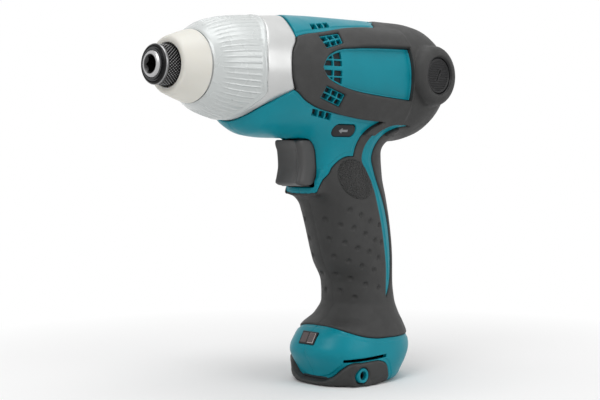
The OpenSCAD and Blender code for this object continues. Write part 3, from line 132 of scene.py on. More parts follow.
# Handle and base going up: share of the axis height, front, back, half width, and the power of the section
GRIP = [
    (0.000, 0.57, -0.59, 0.64, 2.6), (0.025, 0.59, -0.63, 0.71, 2.6), (0.063, 0.62, -0.72, 0.72, 2.6),
    (0.113, 0.67, -0.80, 0.70, 2.5), (0.151, 0.61, -0.77, 0.67, 2.4), (0.182, 0.50, -0.715, 0.63, 2.4),
    (0.214, 0.31, -0.655, 0.57, 2.3), (0.258, 0.205, -0.60, 0.51, 2.3), (0.321, 0.225, -0.58, 0.49, 2.3),
    (0.396, 0.37, -0.59, 0.50, 2.3), (0.503, 0.49, -0.55, 0.51, 2.3), (0.597, 0.60, -0.47, 0.50, 2.5),
    (0.660, 0.715, -0.39, 0.48, 3.0), (0.742, 0.75, -0.37, 0.47, 3.0), (0.805, 0.785, -0.43, 0.48, 3.0),
    (0.880, 0.80, -0.57, 0.49, 2.6),
]
# Side outlines as shares: along from the origin, and up from the axis in head radii
SOFT = [
    (0.520, 0.05), (0.515, 0.40), (0.448, 0.545), (0.406, 0.596), (0.333, 0.645), (0.207, 0.74),
    (0.030, 0.82), (-0.055, 0.845), (-0.115, 0.93), (-0.22, 0.985), (-0.33, 1.03), (-0.35, 1.15),
    (-1.20, 1.15), (-1.20, -1.37), (-0.80, -1.72), (-0.80, -4.78), (-0.34, -4.78), (-0.15, -4.77),
    (0.020, -4.75), (0.095, -4.68), (0.145, -4.58), (0.170, -4.50), (0.350, -4.49), (0.350, -2.16),
    (0.270, -2.155), (0.2636, -2.150), (0.2605, -2.135), (0.2575, -2.110), (0.2545, -2.065),
    (0.2490, -2.020), (0.2420, -1.975), (0.230, -1.888), (0.212, -1.796), (0.200, -1.684), (0.179, -1.589),
    (0.150, -1.512), (0.122, -1.481), (0.092, -1.481), (0.083, -1.35), (0.070, -1.22), (0.055, -1.11),
    (0.031, -1.00), (-0.07, -0.85), (0.133, -0.80), (0.261, -0.73), (0.361, -0.64), (0.432, -0.51),
    (0.465, -0.41), (0.500, -0.33), (0.520, -0.20),
]
STRIP = [
    (-0.49, -0.93), (-0.22, -0.90), (-0.06, -1.04), (0.000, -1.15), (0.020, -1.26), (0.037, -1.40),
    (0.043, -1.55), (0.019, -1.73), (-0.04, -2.00), (-0.10, -2.37), (-0.15, -2.74), (-0.19, -3.11),
    (-0.22, -3.48), (-0.22, -3.85), (-0.21, -4.07), (-0.29, -3.82), (-0.32, -3.48), (-0.31, -3.05),
    (-0.27, -2.63), (-0.21, -2.32), (-0.15, -2.08), (-0.07, -1.73), (-0.04, -1.52), (-0.08, -1.33),
    (-0.12, -1.22), (-0.18, -1.10), (-0.32, -0.98),
]
PLATE = [
    (0.350, 0.04), (0.325, 0.21), (0.264, 0.35), (0.166, 0.41), (0.020, 0.45), (-0.34, 0.47),
    (-0.35, -0.47), (0.029, -0.41), (0.199, -0.32), (0.272, -0.24), (0.329, -0.11),
]
FOOT = [
    (-0.15, -5.80), (-0.10, -5.37), (-0.075, -5.24), (0.006, -5.155), (0.057, -5.148), (0.095, -5.158),
    (0.144, -5.172), (0.169, -5.263), (0.195, -5.45), (0.206, -5.53), (0.300, -5.55), (0.300, -5.80),
]
FRONT = [
    (0.364, 1.20), (0.384, 0.98), (0.412, 0.937), (0.436, 0.828), (0.448, 0.68), (0.454, 0.523),
    (0.4915, 0.274), (0.4975, -0.147), (0.475, -0.358), (0.547, -0.526), (0.613, -0.716), (0.638, -0.86),
    (0.655, -1.40), (-1.20, -1.40), (-1.20, 1.20),
]
COVER = [
    (0.770, -1.20), (0.713, -1.02), (0.667, -0.80), (0.642, -0.677), (0.619, -0.56), (0.599, -0.43),
    (0.612, -0.225), (0.615, 0.10), (0.597, 0.435), (0.563, 0.705), (0.547, 0.80), (0.516, 0.95),
    (0.496, 1.20),
]
# Nose: share along the tool, and its outer radius in head radii
NOSE_SKIN = [
    (0.360, 0.975), (0.430, 0.952), (0.510, 0.922), (0.605, 0.888), (0.690, 0.842), (0.740, 0.788),
    (0.780, 0.722), (0.805, 0.660), (0.822, 0.606),
]
# Screws, in the same shares as the side outlines
SCREWS = [(0.345, -1.035), (-0.46, -1.00), (-0.17, -2.50), (-0.10, -3.80), (0.15, -5.05), (-0.50, -5.00)]
# Vents on the side, as quads in millimetres along and up
GRID_TOP = [(43.9, 175.3), (29.0, 177.8), (29.0, 172.7), (41.4, 169.5)]
GRID_LOW = [(42.5, 151.0), (29.2, 147.1), (31.1, 141.2), (45.1, 145.2)]
SLOTS_TOP = [(44.5, 181.5), (30.3, 183.4), (31.7, 180.8), (45.6, 178.7)]
SLOTS_LOW = [(47.8, 139.8), (33.6, 137.6), (33.1, 134.5), (47.2, 136.7)]
# Slot in the base's sides, and hollows in the handle's sides, along and up
SLOT = [(21.9, 12.1), (21.9, 13.8), (-4.4, 15.0), (-4.4, 13.3)]
DIMPLES = [
    (14.2, 89.5), (7.2, 86.8), (0.9, 83.5), (-6.2, 81.1), (22.7, 84.9), (17.7, 81.9), (11.1, 80.3),
    (4.3, 76.9), (-3.0, 73.5), (-8.0, 72.2), (19.7, 74.6), (14.4, 72.6), (7.9, 69.8), (1.1, 67.5),
    (-5.7, 64.0), (16.6, 65.7), (11.4, 63.2), (4.8, 60.4), (-3.0, 57.9), (12.9, 55.7), (8.1, 53.7),
    (1.6, 50.8), (-6.2, 48.3), (10.9, 47.2), (6.0, 43.8),
]


def along(share):
    """Place along the tool of a share of its length ahead of or behind the origin."""
    return share * (TAIL if share < 0 else NOSE)


def outline(shares):
    """Side outline in millimetres through its points."""
    return curve_through([(along(a), AXIS + b * HEAD_R) for a, b in shares])


def curve_through(points, steps=4, corner=48):
    """Closed curve through points; a turn sharper than the corner angle stays sharp."""
    pts = np.asarray(points, float)
    back, on = pts - np.roll(pts, 1, 0), np.roll(pts, -1, 0) - pts
    lb, lo = np.linalg.norm(back, axis=1)[:, None], np.linalg.norm(on, axis=1)[:, None]
    back, on = back / lb, on / lo
    mean = back * lo + on * lb
    mean /= np.linalg.norm(mean, axis=1)[:, None]
    sharp = ((back * on).sum(1) < math.cos(math.radians(corner)))[:, None]
    leave, reach = np.where(sharp, on, mean), np.where(sharp, back, mean)
    t = (np.arange(steps) / steps)[None, :, None]
    a, b = pts[:, None], np.roll(pts, -1, 0)[:, None]
    m, n = (leave * lo)[:, None], (np.roll(reach, -1, 0) * lo)[:, None]
    out = (1 + 2 * t) * (1 - t) ** 2 * a + t * (1 - t) ** 2 * m
    out = out + t * t * (3 - 2 * t) * b + t * t * (t - 1) * n
    return out.reshape(-1, 2)


def smooth_curve(xs, ys):
    """Monotone cubic through the given points."""
    xs, ys = np.asarray(xs, float), np.asarray(ys, float)
    h = np.diff(xs)
    d = np.diff(ys) / h
    m = np.zeros(len(xs))
    m[0], m[-1] = d[0], d[-1]
    same = d[:-1] * d[1:] > 0
    m[1:-1][same] = 2 * d[:-1][same] * d[1:][same] / (d[:-1][same] + d[1:][same])

    def at(t):
        t = np.clip(t, xs[0], xs[-1])
        i = np.clip(np.searchsorted(xs, t) - 1, 0, len(h) - 1)
        s = (t - xs[i]) / h[i]
        a = (1 + 2 * s) * (1 - s) ** 2 * ys[i] + s * (1 - s) ** 2 * h[i] * m[i]
        return a + s * s * (3 - 2 * s) * ys[i + 1] + s * s * (s - 1) * h[i] * m[i + 1]
    return at


def smin(a, b, k):
    """Smaller of two values, blended where they are closer than k."""
    h = np.maximum(k - np.abs(a - b), 0) / k
    return np.minimum(a, b) - h * h * k / 4


def smax(a, b, k):
    """Larger of two values, blended where they are closer than k."""
    return -smin(-a, -b, k)


HEAD_X = [along(s[0]) for s in HEAD]
HEAD_AT = [smooth_curve(HEAD_X, [s[k] * HEAD_R for s in HEAD]) for k in (1, 2, 3)]
HEAD_N = smooth_curve(HEAD_X, [s[4] for s in HEAD])
GRIP_Z = [s[0] * AXIS for s in GRIP]
GRIP_AT = [smooth_curve(GRIP_Z, [s[k] * f for s in GRIP]) for k, f in ((1, DEPTH), (2, DEPTH), (3, WIDTH))]
GRIP_N = smooth_curve(GRIP_Z, [s[4] for s in GRIP])


def head_field(x, y, z):
    """The motor's barrel: rounded sections along the axis."""
    top, low, half = (f(x) for f in HEAD_AT)
    n = HEAD_N(x)
    dz = z - AXIS
    h = np.where(dz > 0, top, low)
    q = (np.abs(y / half) ** n + np.abs(dz / h) ** n) ** (1 / n)
    head = smax((q - 1) * np.minimum(half, h), -TAIL - x, TAIL_ROUND)
    return np.maximum(head, x - HEAD_FRONT)


def grip_field(x, y, z):
    """Handle and base: rounded sections going up."""
    front, back, half = (f(z) for f in GRIP_AT)
    n = GRIP_N(z)
    middle, reach = (front + back) / 2, (front - back) / 2
    q = (np.abs(y / half) ** n + np.abs((x - middle) / reach) ** n) ** (1 / n)
    grip = smax((q - 1) * np.minimum(half, reach), -z, FOOT_ROUND)
    return np.maximum(grip, z - GRIP_TOP)


def drum_field(x, y, z):
    """Round drums over the brush holders."""
    a = np.hypot(x - BRUSH_X, z - AXIS) - (BOSS_R - BOSS_ROUND)
    b = np.abs(y) - (BOSS_Y - PROUD - BOSS_ROUND)
    return np.hypot(np.maximum(a, 0), np.maximum(b, 0)) + np.minimum(np.maximum(a, b), 0) - BOSS_ROUND


def lip_field(x, y, z):
    """Lip under the trigger, with a bowed front."""
    (ax, az, ra), (bx, bz, rb) = LIP_TIP, LIP_ROOT
    ahead = x + LIP_BOW * y * y
    t = ((ahead - ax) * (bx - ax) + (z - az) * (bz - az)) / ((bx - ax) ** 2 + (bz - az) ** 2)
    t = np.clip(t, 0, 1)
    lip = np.hypot(ahead - ax - t * (bx - ax), z - az - t * (bz - az)) - (ra + t * (rb - ra))
    return smax(lip, np.abs(y) - LIP_HALF, LIP_ROUND)


def cheek_field(x, y, z):
    """Walls beside the trigger, hollowed round its lower corner."""
    cx, cz, r = CHEEK_HOLLOW
    (x0, x1), (z0, z1) = CHEEK_X, CHEEK_Z
    walls = (r - np.hypot(x - cx, z - cz), x + CHEEK_BOW * y * y - x1, x0 - x, z0 - z, z - z1)
    cheek = np.maximum.reduce(np.broadcast_arrays(*walls))
    return smax(cheek, np.abs(y) - CHEEK_HALF, CHEEK_ROUND)


def body_field(x, y, z):
    """Outer shape of the housing without its soft cover; negative inside."""
    out = smin(head_field(x, y, z), grip_field(x, y, z), NECK_BLEND)
    out = smin(out, drum_field(x, y, z), DRUM_BLEND)
    out = smin(out, lip_field(x, y, z), LIP_BLEND)
    return smin(out, cheek_field(x, y, z), CHEEK_BLEND)


def gradient(v, e=0.05):
    """Slope of the body's field at points, by small steps."""
    g = np.empty_like(v)
    for k in range(3):
        d = np.zeros(3)
        d[k] = e
        p, m = v + d, v - d
        g[:, k] = (body_field(*p.T) - body_field(*m.T)) / (2 * e)
    return g


def onto_body(v, rounds=3):
    """Points moved onto the body's surface."""
    for _ in range(rounds):
        g = gradient(v)
        f = body_field(*v.T)
        v = v - (f / np.maximum((g * g).sum(1), 1e-6))[:, None].clip(-2, 2) * g
    return v


def surface_nets(field, low, high, step):
    """Closed mesh of the zero level of a field on a grid."""
    ax = [np.arange(low[k], high[k] + step, step) for k in range(3)]
    val = field(ax[0][:, None, None], ax[1][None, :, None], ax[2][None, None, :])
    val = np.broadcast_to(val, tuple(len(a) for a in ax)).copy()
    cells = tuple(n - 1 for n in val.shape)
    total = np.zeros(cells + (3,))
    count = np.zeros(cells)
    for axis in range(3):
        others = [k for k in range(3) if k != axis]
        for oa in (0, 1):
            for ob in (0, 1):
                lo = [0, 0, 0]
                lo[others[0]], lo[others[1]] = oa, ob
                hi = list(lo)
                hi[axis] = 1
                a = val[tuple(slice(lo[k], lo[k] + cells[k]) for k in range(3))]
                b = val[tuple(slice(hi[k], hi[k] + cells[k]) for k in range(3))]
                hit = (a < 0) != (b < 0)
                t = np.where(hit, a / np.where(hit, a - b, 1), 0)
                for k in range(3):
                    total[..., k] += np.where(hit, lo[k] + (t if k == axis else 0), 0)
                count += hit
    active = count > 0
    index = np.full(cells, -1)
    index[active] = np.arange(active.sum())
    cell = np.argwhere(active)
    verts = np.array(low) + step * (cell + total[active] / count[active][:, None])
    quads = []
    for axis in range(3):
        o = [k for k in range(3) if k != axis]
        a = np.take(val, range(cells[axis]), axis)
        b = np.take(val, range(1, cells[axis] + 1), axis)
        hit = np.argwhere((a < 0) != (b < 0))
        keep = np.all([(hit[:, k] >= 1) & (hit[:, k] < cells[k]) for k in o], axis=0)
        hit = hit[keep]
        inside = a[tuple(hit.T)] < 0
        ring = []
        for da, db in ((1, 1), (0, 1), (0, 0), (1, 0)):
            c = hit.copy()
            c[:, o[0]] -= da
            c[:, o[1]] -= db
            ring.append(index[tuple(c.T)])
        ring = np.stack(ring, 1)
        flip = inside if axis != 1 else ~inside
        ring[~flip] = ring[~flip][:, ::-1]
        quads.append(ring)
    quads = np.concatenate(quads)
    return verts, np.concatenate([quads[:, [0, 1, 2]], quads[:, [0, 2, 3]]])


def refine(v, t, limit, project):
    """Splits each edge that is longer than the limit at its middle."""
    e = np.sort(np.concatenate([t[:, [0, 1]], t[:, [1, 2]], t[:, [2, 0]]]), axis=1)
    u, inv = np.unique(e, axis=0, return_inverse=True)
    inv = inv.reshape(3, -1).T
    mid = (v[u[:, 0]] + v[u[:, 1]]) / 2
    length = np.linalg.norm(v[u[:, 0]] - v[u[:, 1]], axis=1)
    split = length > limit(mid)
    new = np.full(len(u), -1)
    new[split] = len(v) + np.arange(split.sum())
    v = np.concatenate([v, project(mid[split])])
    m = new[inv]
    n = (m >= 0).sum(1)
    out = [t[n == 0]]
    for k in range(3):
        r = [k, (k + 1) % 3, (k + 2) % 3]
        one = (n == 1) & (m[:, k] >= 0)
        a, b, c = t[one][:, r].T
        x = m[one, k]
        out += [np.stack([a, x, c], 1), np.stack([x, b, c], 1)]
        two = (n == 2) & (m[:, k] < 0)
        a, b, c = t[two][:, r].T
        y, z = m[two, r[1]], m[two, r[2]]
        out += [np.stack([a, b, y], 1), np.stack([a, y, z], 1), np.stack([z, y, c], 1)]
    three = n == 3
    a, b, c = t[three].T
    x, y, z = m[three].T
    out += [np.stack(s, 1) for s in ((a, x, z), (x, b, y), (z, y, c), (x, y, z))]
    return v, np.concatenate(out)


def clip(v, t, a, f):
    """Keeps the side of a mesh where a value is positive; other columns are carried along."""
    inside = f > 0
    n = inside[t].sum(1)
    out = [t[n == 3]]
    mixed = t[(n == 1) | (n == 2)]
    lone_in = inside[mixed].sum(1) == 1
    lone = np.where(lone_in[:, None], inside[mixed], ~inside[mixed]).argmax(1)
    rows = np.arange(len(mixed))
    p = mixed[rows, lone]
    q = mixed[rows, (lone + 1) % 3]
    r = mixed[rows, (lone + 2) % 3]
    e = np.sort(np.concatenate([np.stack([p, q], 1), np.stack([p, r], 1)]), axis=1)
    u, inv = np.unique(e, axis=0, return_inverse=True)
    inv = inv.reshape(-1)
    s = f[u[:, 0]] / (f[u[:, 0]] - f[u[:, 1]])
    s = s.clip(0.02, 0.98)[:, None]
    v2 = v[u[:, 0]] * (1 - s) + v[u[:, 1]] * s
    a2 = a[u[:, 0]] * (1 - s) + a[u[:, 1]] * s
    new = len(v) + inv
    pq, pr = new[:len(mixed)], new[len(mixed):]
    k = lone_in
    out.append(np.stack([p[k], pq[k], pr[k]], 1))
    k = ~lone_in
    out += [np.stack([pq[k], q[k], r[k]], 1), np.stack([pq[k], r[k], pr[k]], 1)]
    t = np.concatenate(out)
    v, a = np.concatenate([v, v2]), np.concatenate([a, a2])
    used = np.zeros(len(v), bool)
    used[t] = True
    renumber = np.cumsum(used) - 1
    return v[used], renumber[t], a[used]


def polygon_distance(poly, x, z, n):
    """Distance along the surface to a side outline, positive inside it."""
    out = np.empty(len(x))
    nxt = np.roll(poly, -1, axis=0)
    edge = nxt - poly
    long2 = (edge * edge).sum(1)
    for k in range(0, len(x), 20000):
        s = slice(k, k + 20000)
        px, pz = x[s, None] - poly[:, 0], z[s, None] - poly[:, 1]
        t = ((px * edge[:, 0] + pz * edge[:, 1]) / long2).clip(0, 1)
        dx, dz = px - t * edge[:, 0], pz - t * edge[:, 1]
        d2 = dx * dx + dz * dz
        i = d2.argmin(1)
        row = np.arange(len(i))
        d = np.sqrt(d2[row, i])
        gx, gz = dx[row, i] / np.maximum(d, 1e-9), dz[row, i] / np.maximum(d, 1e-9)
        above = (poly[:, 1] > z[s, None]) != (nxt[:, 1] > z[s, None])
        slope = edge[:, 0] / np.where(edge[:, 1] == 0, 1e-9, edge[:, 1])
        crossing = above & (x[s, None] < poly[:, 0] + (z[s, None] - poly[:, 1]) * slope)
        sign = np.where(crossing.sum(1) % 2 == 1, 1.0, -1.0)
        dot = gx * n[s, 0] + gz * n[s, 2]
        out[s] = sign * d / np.sqrt(np.maximum(1 - dot * dot, 0.08))
    return out


def box2(a, b, ca, cb, ha, hb, r):
    """Rounded rectangle in two coordinates, positive inside."""
    qa, qb = np.abs(a - ca) - (ha - r), np.abs(b - cb) - (hb - r)
    return -(np.hypot(np.maximum(qa, 0), np.maximum(qb, 0)) + np.minimum(np.maximum(qa, qb), 0) - r)


def cells_of(quad, rows, columns, rib, rim):
    """Small vent outlines in a quad, split into rows and columns with ribs between."""
    a, b, c, d = (np.array(p) for p in quad)
    wide = (np.linalg.norm(b - a) + np.linalg.norm(c - d)) / 2
    high = (np.linalg.norm(d - a) + np.linalg.norm(c - b)) / 2

    def at(u, w):
        return (a * (1 - u) + b * u) * (1 - w) + (d * (1 - u) + c * u) * w
    out = []
    cw = (wide - 2 * rim - (columns - 1) * rib) / columns
    ch = (high - 2 * rim - (rows - 1) * rib) / rows
    for i in range(columns):
        for j in range(rows):
            u0 = (rim + i * (cw + rib)) / wide
            w0 = (rim + j * (ch + rib)) / high
            u1, w1 = u0 + cw / wide, w0 + ch / high
            out.append(np.array([at(u0, w0), at(u1, w0), at(u1, w1), at(u0, w1)]))
    return out


# Materials
NOISE_LOW, NOISE_HIGH = 0.3, 0.7


def set_sockets(made, values):
    for socket, value in values.items():
        made.inputs[socket].default_value = value


def add_node(nodes, kind, values=None, operation=None):
    """Shader node with its operation and some of its sockets set."""
    made = nodes.new("ShaderNode" + kind)
    if operation:
        made.operation = operation
    set_sockets(made, values or {})
    return made


def math_node(nodes, links, kind, a, b):
    """Math node on two outputs or numbers."""
    made = add_node(nodes, "Math", operation=kind)
    for socket, value in zip(made.inputs, (a, b)):
        if isinstance(value, float):
            socket.default_value = value
        else:
            links.new(value, socket)
    return made.outputs[0]


def new_material(name):
    m = bpy.data.materials.new(name)
    m.use_nodes = True
    nodes, links = m.node_tree.nodes, m.node_tree.links
    return m, nodes, links, nodes["Principled BSDF"]


def tint(nodes, links, shader, colour, spread, scale):
    """Base colour that varies a little over the surface; gives back the coordinates."""
    co = add_node(nodes, "TexCoord")
    noise = add_node(nodes, "TexNoise", {"Scale": scale, "Detail": 3.0})
    ramp = add_node(nodes, "ValToRGB")
    stops = ramp.color_ramp.elements
    for i, (place, share) in enumerate(((NOISE_LOW, 1 - spread), (NOISE_HIGH, 1 + spread))):
        stops[i].position = place
        stops[i].color = (*[min(1, c * share) for c in colour], 1)
    links.new(co.outputs["Object"], noise.inputs["Vector"])
    links.new(noise.outputs["Fac"], ramp.inputs["Fac"])
    links.new(ramp.outputs["Color"], shader.inputs["Base Color"])
    return co


def grain(nodes, links, shader, co, scale, strength, distance):
    """Fine bump all over."""
    noise = add_node(nodes, "TexNoise", {"Scale": scale, "Detail": 2.0})
    bump = add_node(nodes, "Bump", {"Strength": strength, "Distance": distance})
    links.new(co.outputs["Object"], noise.inputs["Vector"])
    links.new(noise.outputs["Fac"], bump.inputs["Height"])
    links.new(bump.outputs["Normal"], shader.inputs["Normal"])


def rough_spread(nodes, links, shader, co, low, high, scale):
    """Roughness that varies between two values."""
    noise = add_node(nodes, "TexNoise", {"Scale": scale, "Detail": 4.0})
    span = add_node(nodes, "MapRange", {
        "From Min": NOISE_LOW, "From Max": NOISE_HIGH, "To Min": low, "To Max": high})
    links.new(co.outputs["Object"], noise.inputs["Vector"])
    links.new(noise.outputs["Fac"], span.inputs["Value"])
    links.new(span.outputs["Result"], shader.inputs["Roughness"])


def simple(name, colour, rough, metal=0.0, spread=0.06, scale=60, bump_scale=1400, bump=0.12, depth=0.00008,
           sockets=None):
    """Material of one colour, with a little spread in colour and roughness and a fine bump."""
    m, nodes, links, shader = new_material(name)
    co = tint(nodes, links, shader, colour, spread, scale)
    grain(nodes, links, shader, co, bump_scale, bump, depth)
    rough_spread(nodes, links, shader, co, rough * 0.85, min(1, rough * 1.15), scale * 3)
    set_sockets(shader, {"Metallic": metal, **(sockets or {})})
    return m


TEAL = (0.0, 0.215, 0.275)
DARK = (0.026, 0.026, 0.0255)
teal = simple("teal_plastic", TEAL, 0.36, bump_scale=1800, bump=0.10, depth=0.00006, spread=0.05,
              sockets={"Specular IOR Level": 0.2})
# Near-black for the lining behind vents and seams: painted shade of the tool's inside
inside = simple("painted_shade_black", (0.006, 0.010, 0.012), 0.8)
steel = simple("hard_steel", (0.42, 0.40, 0.385), 0.28, 1.0, bump_scale=900, bump=0.10)
bright = simple("bright_steel", (0.62, 0.62, 0.63), 0.25, 1.0)
black_steel = simple("black_steel", (0.06, 0.061, 0.063), 0.24, 0.85, bump_scale=2500)
black = simple("black_plastic", (0.009, 0.009, 0.010), 0.38, sockets={"Specular IOR Level": 0.3})
brass = simple("insert_brass", (0.60, 0.43, 0.18), 0.3, 1.0)
copper = simple("winding_copper", (0.62, 0.26, 0.12), 0.35, 1.0)
core = simple("core_steel", (0.20, 0.20, 0.21), 0.5, 0.9)
green = simple("board_green", (0.02, 0.12, 0.05), 0.4)
yellow = simple("suppressor_yellow", (0.55, 0.44, 0.05), 0.4)
carbon = simple("carbon", (0.02, 0.02, 0.02), 0.6)
cream = simple("bumper_cream", (0.67, 0.655, 0.60), 0.42, spread=0.03, scale=40, bump_scale=1200, bump=0.06,
               sockets={"Subsurface Weight": 0.12, "Subsurface Radius": (0.004, 0.003, 0.002)})
silver = simple("case_silver", (0.55, 0.555, 0.55), 0.34, 0.55, spread=0.03, bump_scale=2600, bump=0.10)
clear = simple("cover_clear", (0.52, 0.545, 0.54), 0.28, 0.1, spread=0.03, scale=30, bump_scale=500,
               bump=0.03, sockets={"Coat Weight": 0.5, "Coat Roughness": 0.25})
trigger_grey = simple("trigger_grey", (0.044, 0.043, 0.043), 0.42, bump_scale=2400, bump=0.10)
mark = simple("mark_grey", (0.22, 0.23, 0.235), 0.5)
lens_red = simple("lens_cell", (0.035, 0.013, 0.013), 0.12, sockets={"Coat Weight": 0.6})
# Brighter rim of one light cell: a painted highlight on its edges
lens_painted_highlight = simple("lens_painted_highlight", (0.45, 0.38, 0.37), 0.2, 0.3)


def painted_light_by_radius(name, low, high, shades, metal):
    """Turned steel whose base colour goes with the radius from the nose's axis: painted glints on high
    points, painted shade in hollows.
    """
    m, nodes, links, shader = new_material(name)
    co = add_node(nodes, "TexCoord")
    across = add_node(nodes, "VectorMath", {1: (0.0, 1.0, 1.0), 2: (0.0, 0.0, -AXIS * MM)}, "MULTIPLY_ADD")
    radius = add_node(nodes, "VectorMath", operation="LENGTH")
    span = add_node(nodes, "MapRange", {"From Min": low * MM, "From Max": high * MM})
    ramp = add_node(nodes, "ValToRGB")
    stops = ramp.color_ramp.elements
    stops.remove(stops[1])
    for i, (r, shade) in enumerate(shades):
        place = (r - low) / (high - low)
        stop = stops[0] if i == 0 else stops.new(place)
        stop.position = place
        stop.color = (shade, shade, shade * 1.01, 1)
    links.new(co.outputs["Object"], across.inputs[0])
    links.new(across.outputs["Vector"], radius.inputs[0])
    links.new(radius.outputs["Value"], span.inputs["Value"])
    links.new(span.outputs["Result"], ramp.inputs["Fac"])
    links.new(ramp.outputs["Color"], shader.inputs["Base Color"])
    grain(nodes, links, shader, co, 2500, 0.12, 0.00008)
    rough_spread(nodes, links, shader, co, 0.24, 0.34, 180)
    set_sockets(shader, {"Metallic": metal})
    return m


# Radius in millimetres and the base colour there: bright bands are painted glints, dark ones painted shade in
# hollows
KNURL_PAINTED_LIGHT = [
    (8.7, 0.008), (9.1, 0.02), (9.25, 0.10), (9.33, 0.40), (9.40, 0.40), (9.43, 0.05), (9.6, 0.05),
]
# Anvil's socket: dark inside the hex hole and its chamfer, painted shade of the recess
SOCKET_PAINTED_SHADE = [(3.4, 0.03), (4.1, 0.05), (4.45, 0.12), (4.7, 0.46), (6.3, 0.46)]
knurl_painted_light = painted_light_by_radius("knurled_steel_painted_light", 8.6, 9.6, KNURL_PAINTED_LIGHT, 0.8)
socket_steel_painted_shade = painted_light_by_radius("socket_steel_painted_shade", 3.0, 6.5, SOCKET_PAINTED_SHADE, 0.9)


def rubber_material():
    """Matt rubber with fine grain, and a leather grain where the thumb lies."""
    m, nodes, links, shader = new_material("soft_rubber")
    co = tint(nodes, links, shader, DARK, 0.10, 45)
    rough_spread(nodes, links, shader, co, 0.52, 0.66, 160)
    split = add_node(nodes, "SeparateXYZ")
    links.new(co.outputs["Object"], split.inputs["Vector"])

    def calc(kind, a, b):
        return math_node(nodes, links, kind, a, b)
    x0, z0, long, high = (size * MM for size in PAD)
    dx = calc("SUBTRACT", split.outputs["X"], x0)
    dz = calc("SUBTRACT", split.outputs["Z"], z0)
    ex = calc("ADD", calc("MULTIPLY", dx, PAD_COS / long), calc("MULTIPLY", dz, PAD_SIN / long))
    ez = calc("SUBTRACT", calc("MULTIPLY", dz, PAD_COS / high), calc("MULTIPLY", dx, PAD_SIN / high))
    r2 = calc("ADD", calc("MULTIPLY", ex, ex), calc("MULTIPLY", ez, ez))
    mask = add_node(nodes, "MapRange", {"From Min": 1.08, "From Max": 0.92})
    links.new(r2, mask.inputs["Value"])
    cells = add_node(nodes, "TexVoronoi", {"Scale": 1150})
    links.new(co.outputs["Object"], cells.inputs["Vector"])
    noise = add_node(nodes, "TexNoise", {"Scale": 3200})
    links.new(co.outputs["Object"], noise.inputs["Vector"])
    leather = calc("MULTIPLY", calc("MULTIPLY", cells.outputs["Distance"], mask.outputs["Result"]), 3.0)
    height = calc("ADD", leather, calc("MULTIPLY", noise.outputs["Fac"], 0.35))
    bump = add_node(nodes, "Bump", {"Strength": 1.0, "Distance": 0.0005})
    links.new(height, bump.inputs["Height"])
    links.new(bump.outputs["Normal"], shader.inputs["Normal"])
    set_sockets(shader, {"Specular IOR Level": 0.42})
    return m


rubber = rubber_material()


# Making objects
def add_mesh(name, v, faces, material, body, smooth=True, sharp=None):
    """Object from a mesh in millimetres, riding on a body."""
    mesh = bpy.data.meshes.new(name)
    mesh.from_pydata((np.asarray(v, float) * MM).tolist(), [], [list(map(int, f)) for f in faces])
    mesh.validate(clean_customdata=False)
    mesh.update()
    if smooth:
        mesh.polygons.foreach_set("use_smooth", [True] * len(mesh.polygons))
    if sharp:
        mesh.set_sharp_from_angle(angle=math.radians(sharp))
    mesh.materials.append(material)
    o = bpy.data.objects.new(name, mesh)
    bpy.context.scene.collection.objects.link(o)
    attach(o, body)
    return o


def with_skirt(v, t, n, depth):
    """Adds walls that run inwards from every open edge."""
    e = np.concatenate([t[:, [0, 1]], t[:, [1, 2]], t[:, [2, 0]]])
    key = np.sort(e, axis=1)
    _, inv, count = np.unique(key, axis=0, return_inverse=True, return_counts=True)
    rim = e[count[inv.reshape(-1)] == 1]
    ids, inv = np.unique(rim, return_inverse=True)
    inv = inv.reshape(rim.shape)
    top = len(v) + np.arange(len(ids))
    low = top + len(ids)
    v = np.concatenate([v, v[ids], v[ids] - n[ids] * depth])
    a, b = inv.T
    walls = np.concatenate([np.stack([top[b], top[a], low[a]], 1), np.stack([top[b], low[a], low[b]], 1)])
    return v, np.concatenate([t, walls])


def lathe(profile, count, closed=True):
    """Mesh of a profile of (along, radius) turned round the spindle axis."""
    p = np.asarray(profile, float)
    a = circle(count)
    v = np.stack([
        np.repeat(p[:, 0], count),
        np.outer(p[:, 1], np.cos(a)).ravel(),
        AXIS + np.outer(p[:, 1], np.sin(a)).ravel(),
    ], 1)
    rows = len(p) if closed else len(p) - 1
    k = np.arange(count)
    on = (k + 1) % count
    faces = []
    for i in range(rows):
        j = (i + 1) % len(p)
        faces.append(np.stack([i * count + k, j * count + k, j * count + on, i * count + on], 1))
    return v, np.concatenate(faces)


def circle(count):
    """Angles of a ring of points."""
    return np.arange(count) * 2 * np.pi / count


def ring_faces(count, rings):
    """Faces between rings of points, each ring with the next."""
    k = np.arange(count)
    on = (k + 1) % count
    return np.concatenate([
        np.stack([i * count + k, i * count + on, (i + 1) * count + on, (i + 1) * count + k], 1)
        for i in range(rings - 1)])


def closed_faces(count, rings):
    """The same, with a face across the first and the last ring."""
    k = np.arange(count)
    ends = [k[::-1].tolist(), (k + (rings - 1) * count).tolist()]
    return ring_faces(count, rings).tolist() + ends


def flipped(faces):
    """Faces that look the other way."""
    return [face[::-1] for face in faces]


def side_rings(x, z, profile, ang):
    """Rings round an axis across the tool, for a profile of (radius, across)."""
    return np.concatenate([
        np.stack([x + r * np.cos(ang), np.full(len(ang), y), z + r * np.sin(ang)], 1) for r, y in profile])


def rounded_profile(points, steps=5):
    """Closed profile whose corners with a radius are rounded: each point is (along, radius, rounding)."""
    out = []
    n = len(points)
    for i, (x, r, q) in enumerate(points):
        here = np.array([x, r], float)
        if q <= 0:
            out.append(here)
            continue
        a = np.array(points[i - 1][:2], float) - here
        b = np.array(points[(i + 1) % n][:2], float) - here
        a, b = a / np.linalg.norm(a), b / np.linalg.norm(b)
        for s in np.linspace(0, 1, steps + 1):
            out.append(here + q * ((1 - s) ** 2 * a + s * s * b))
    return out


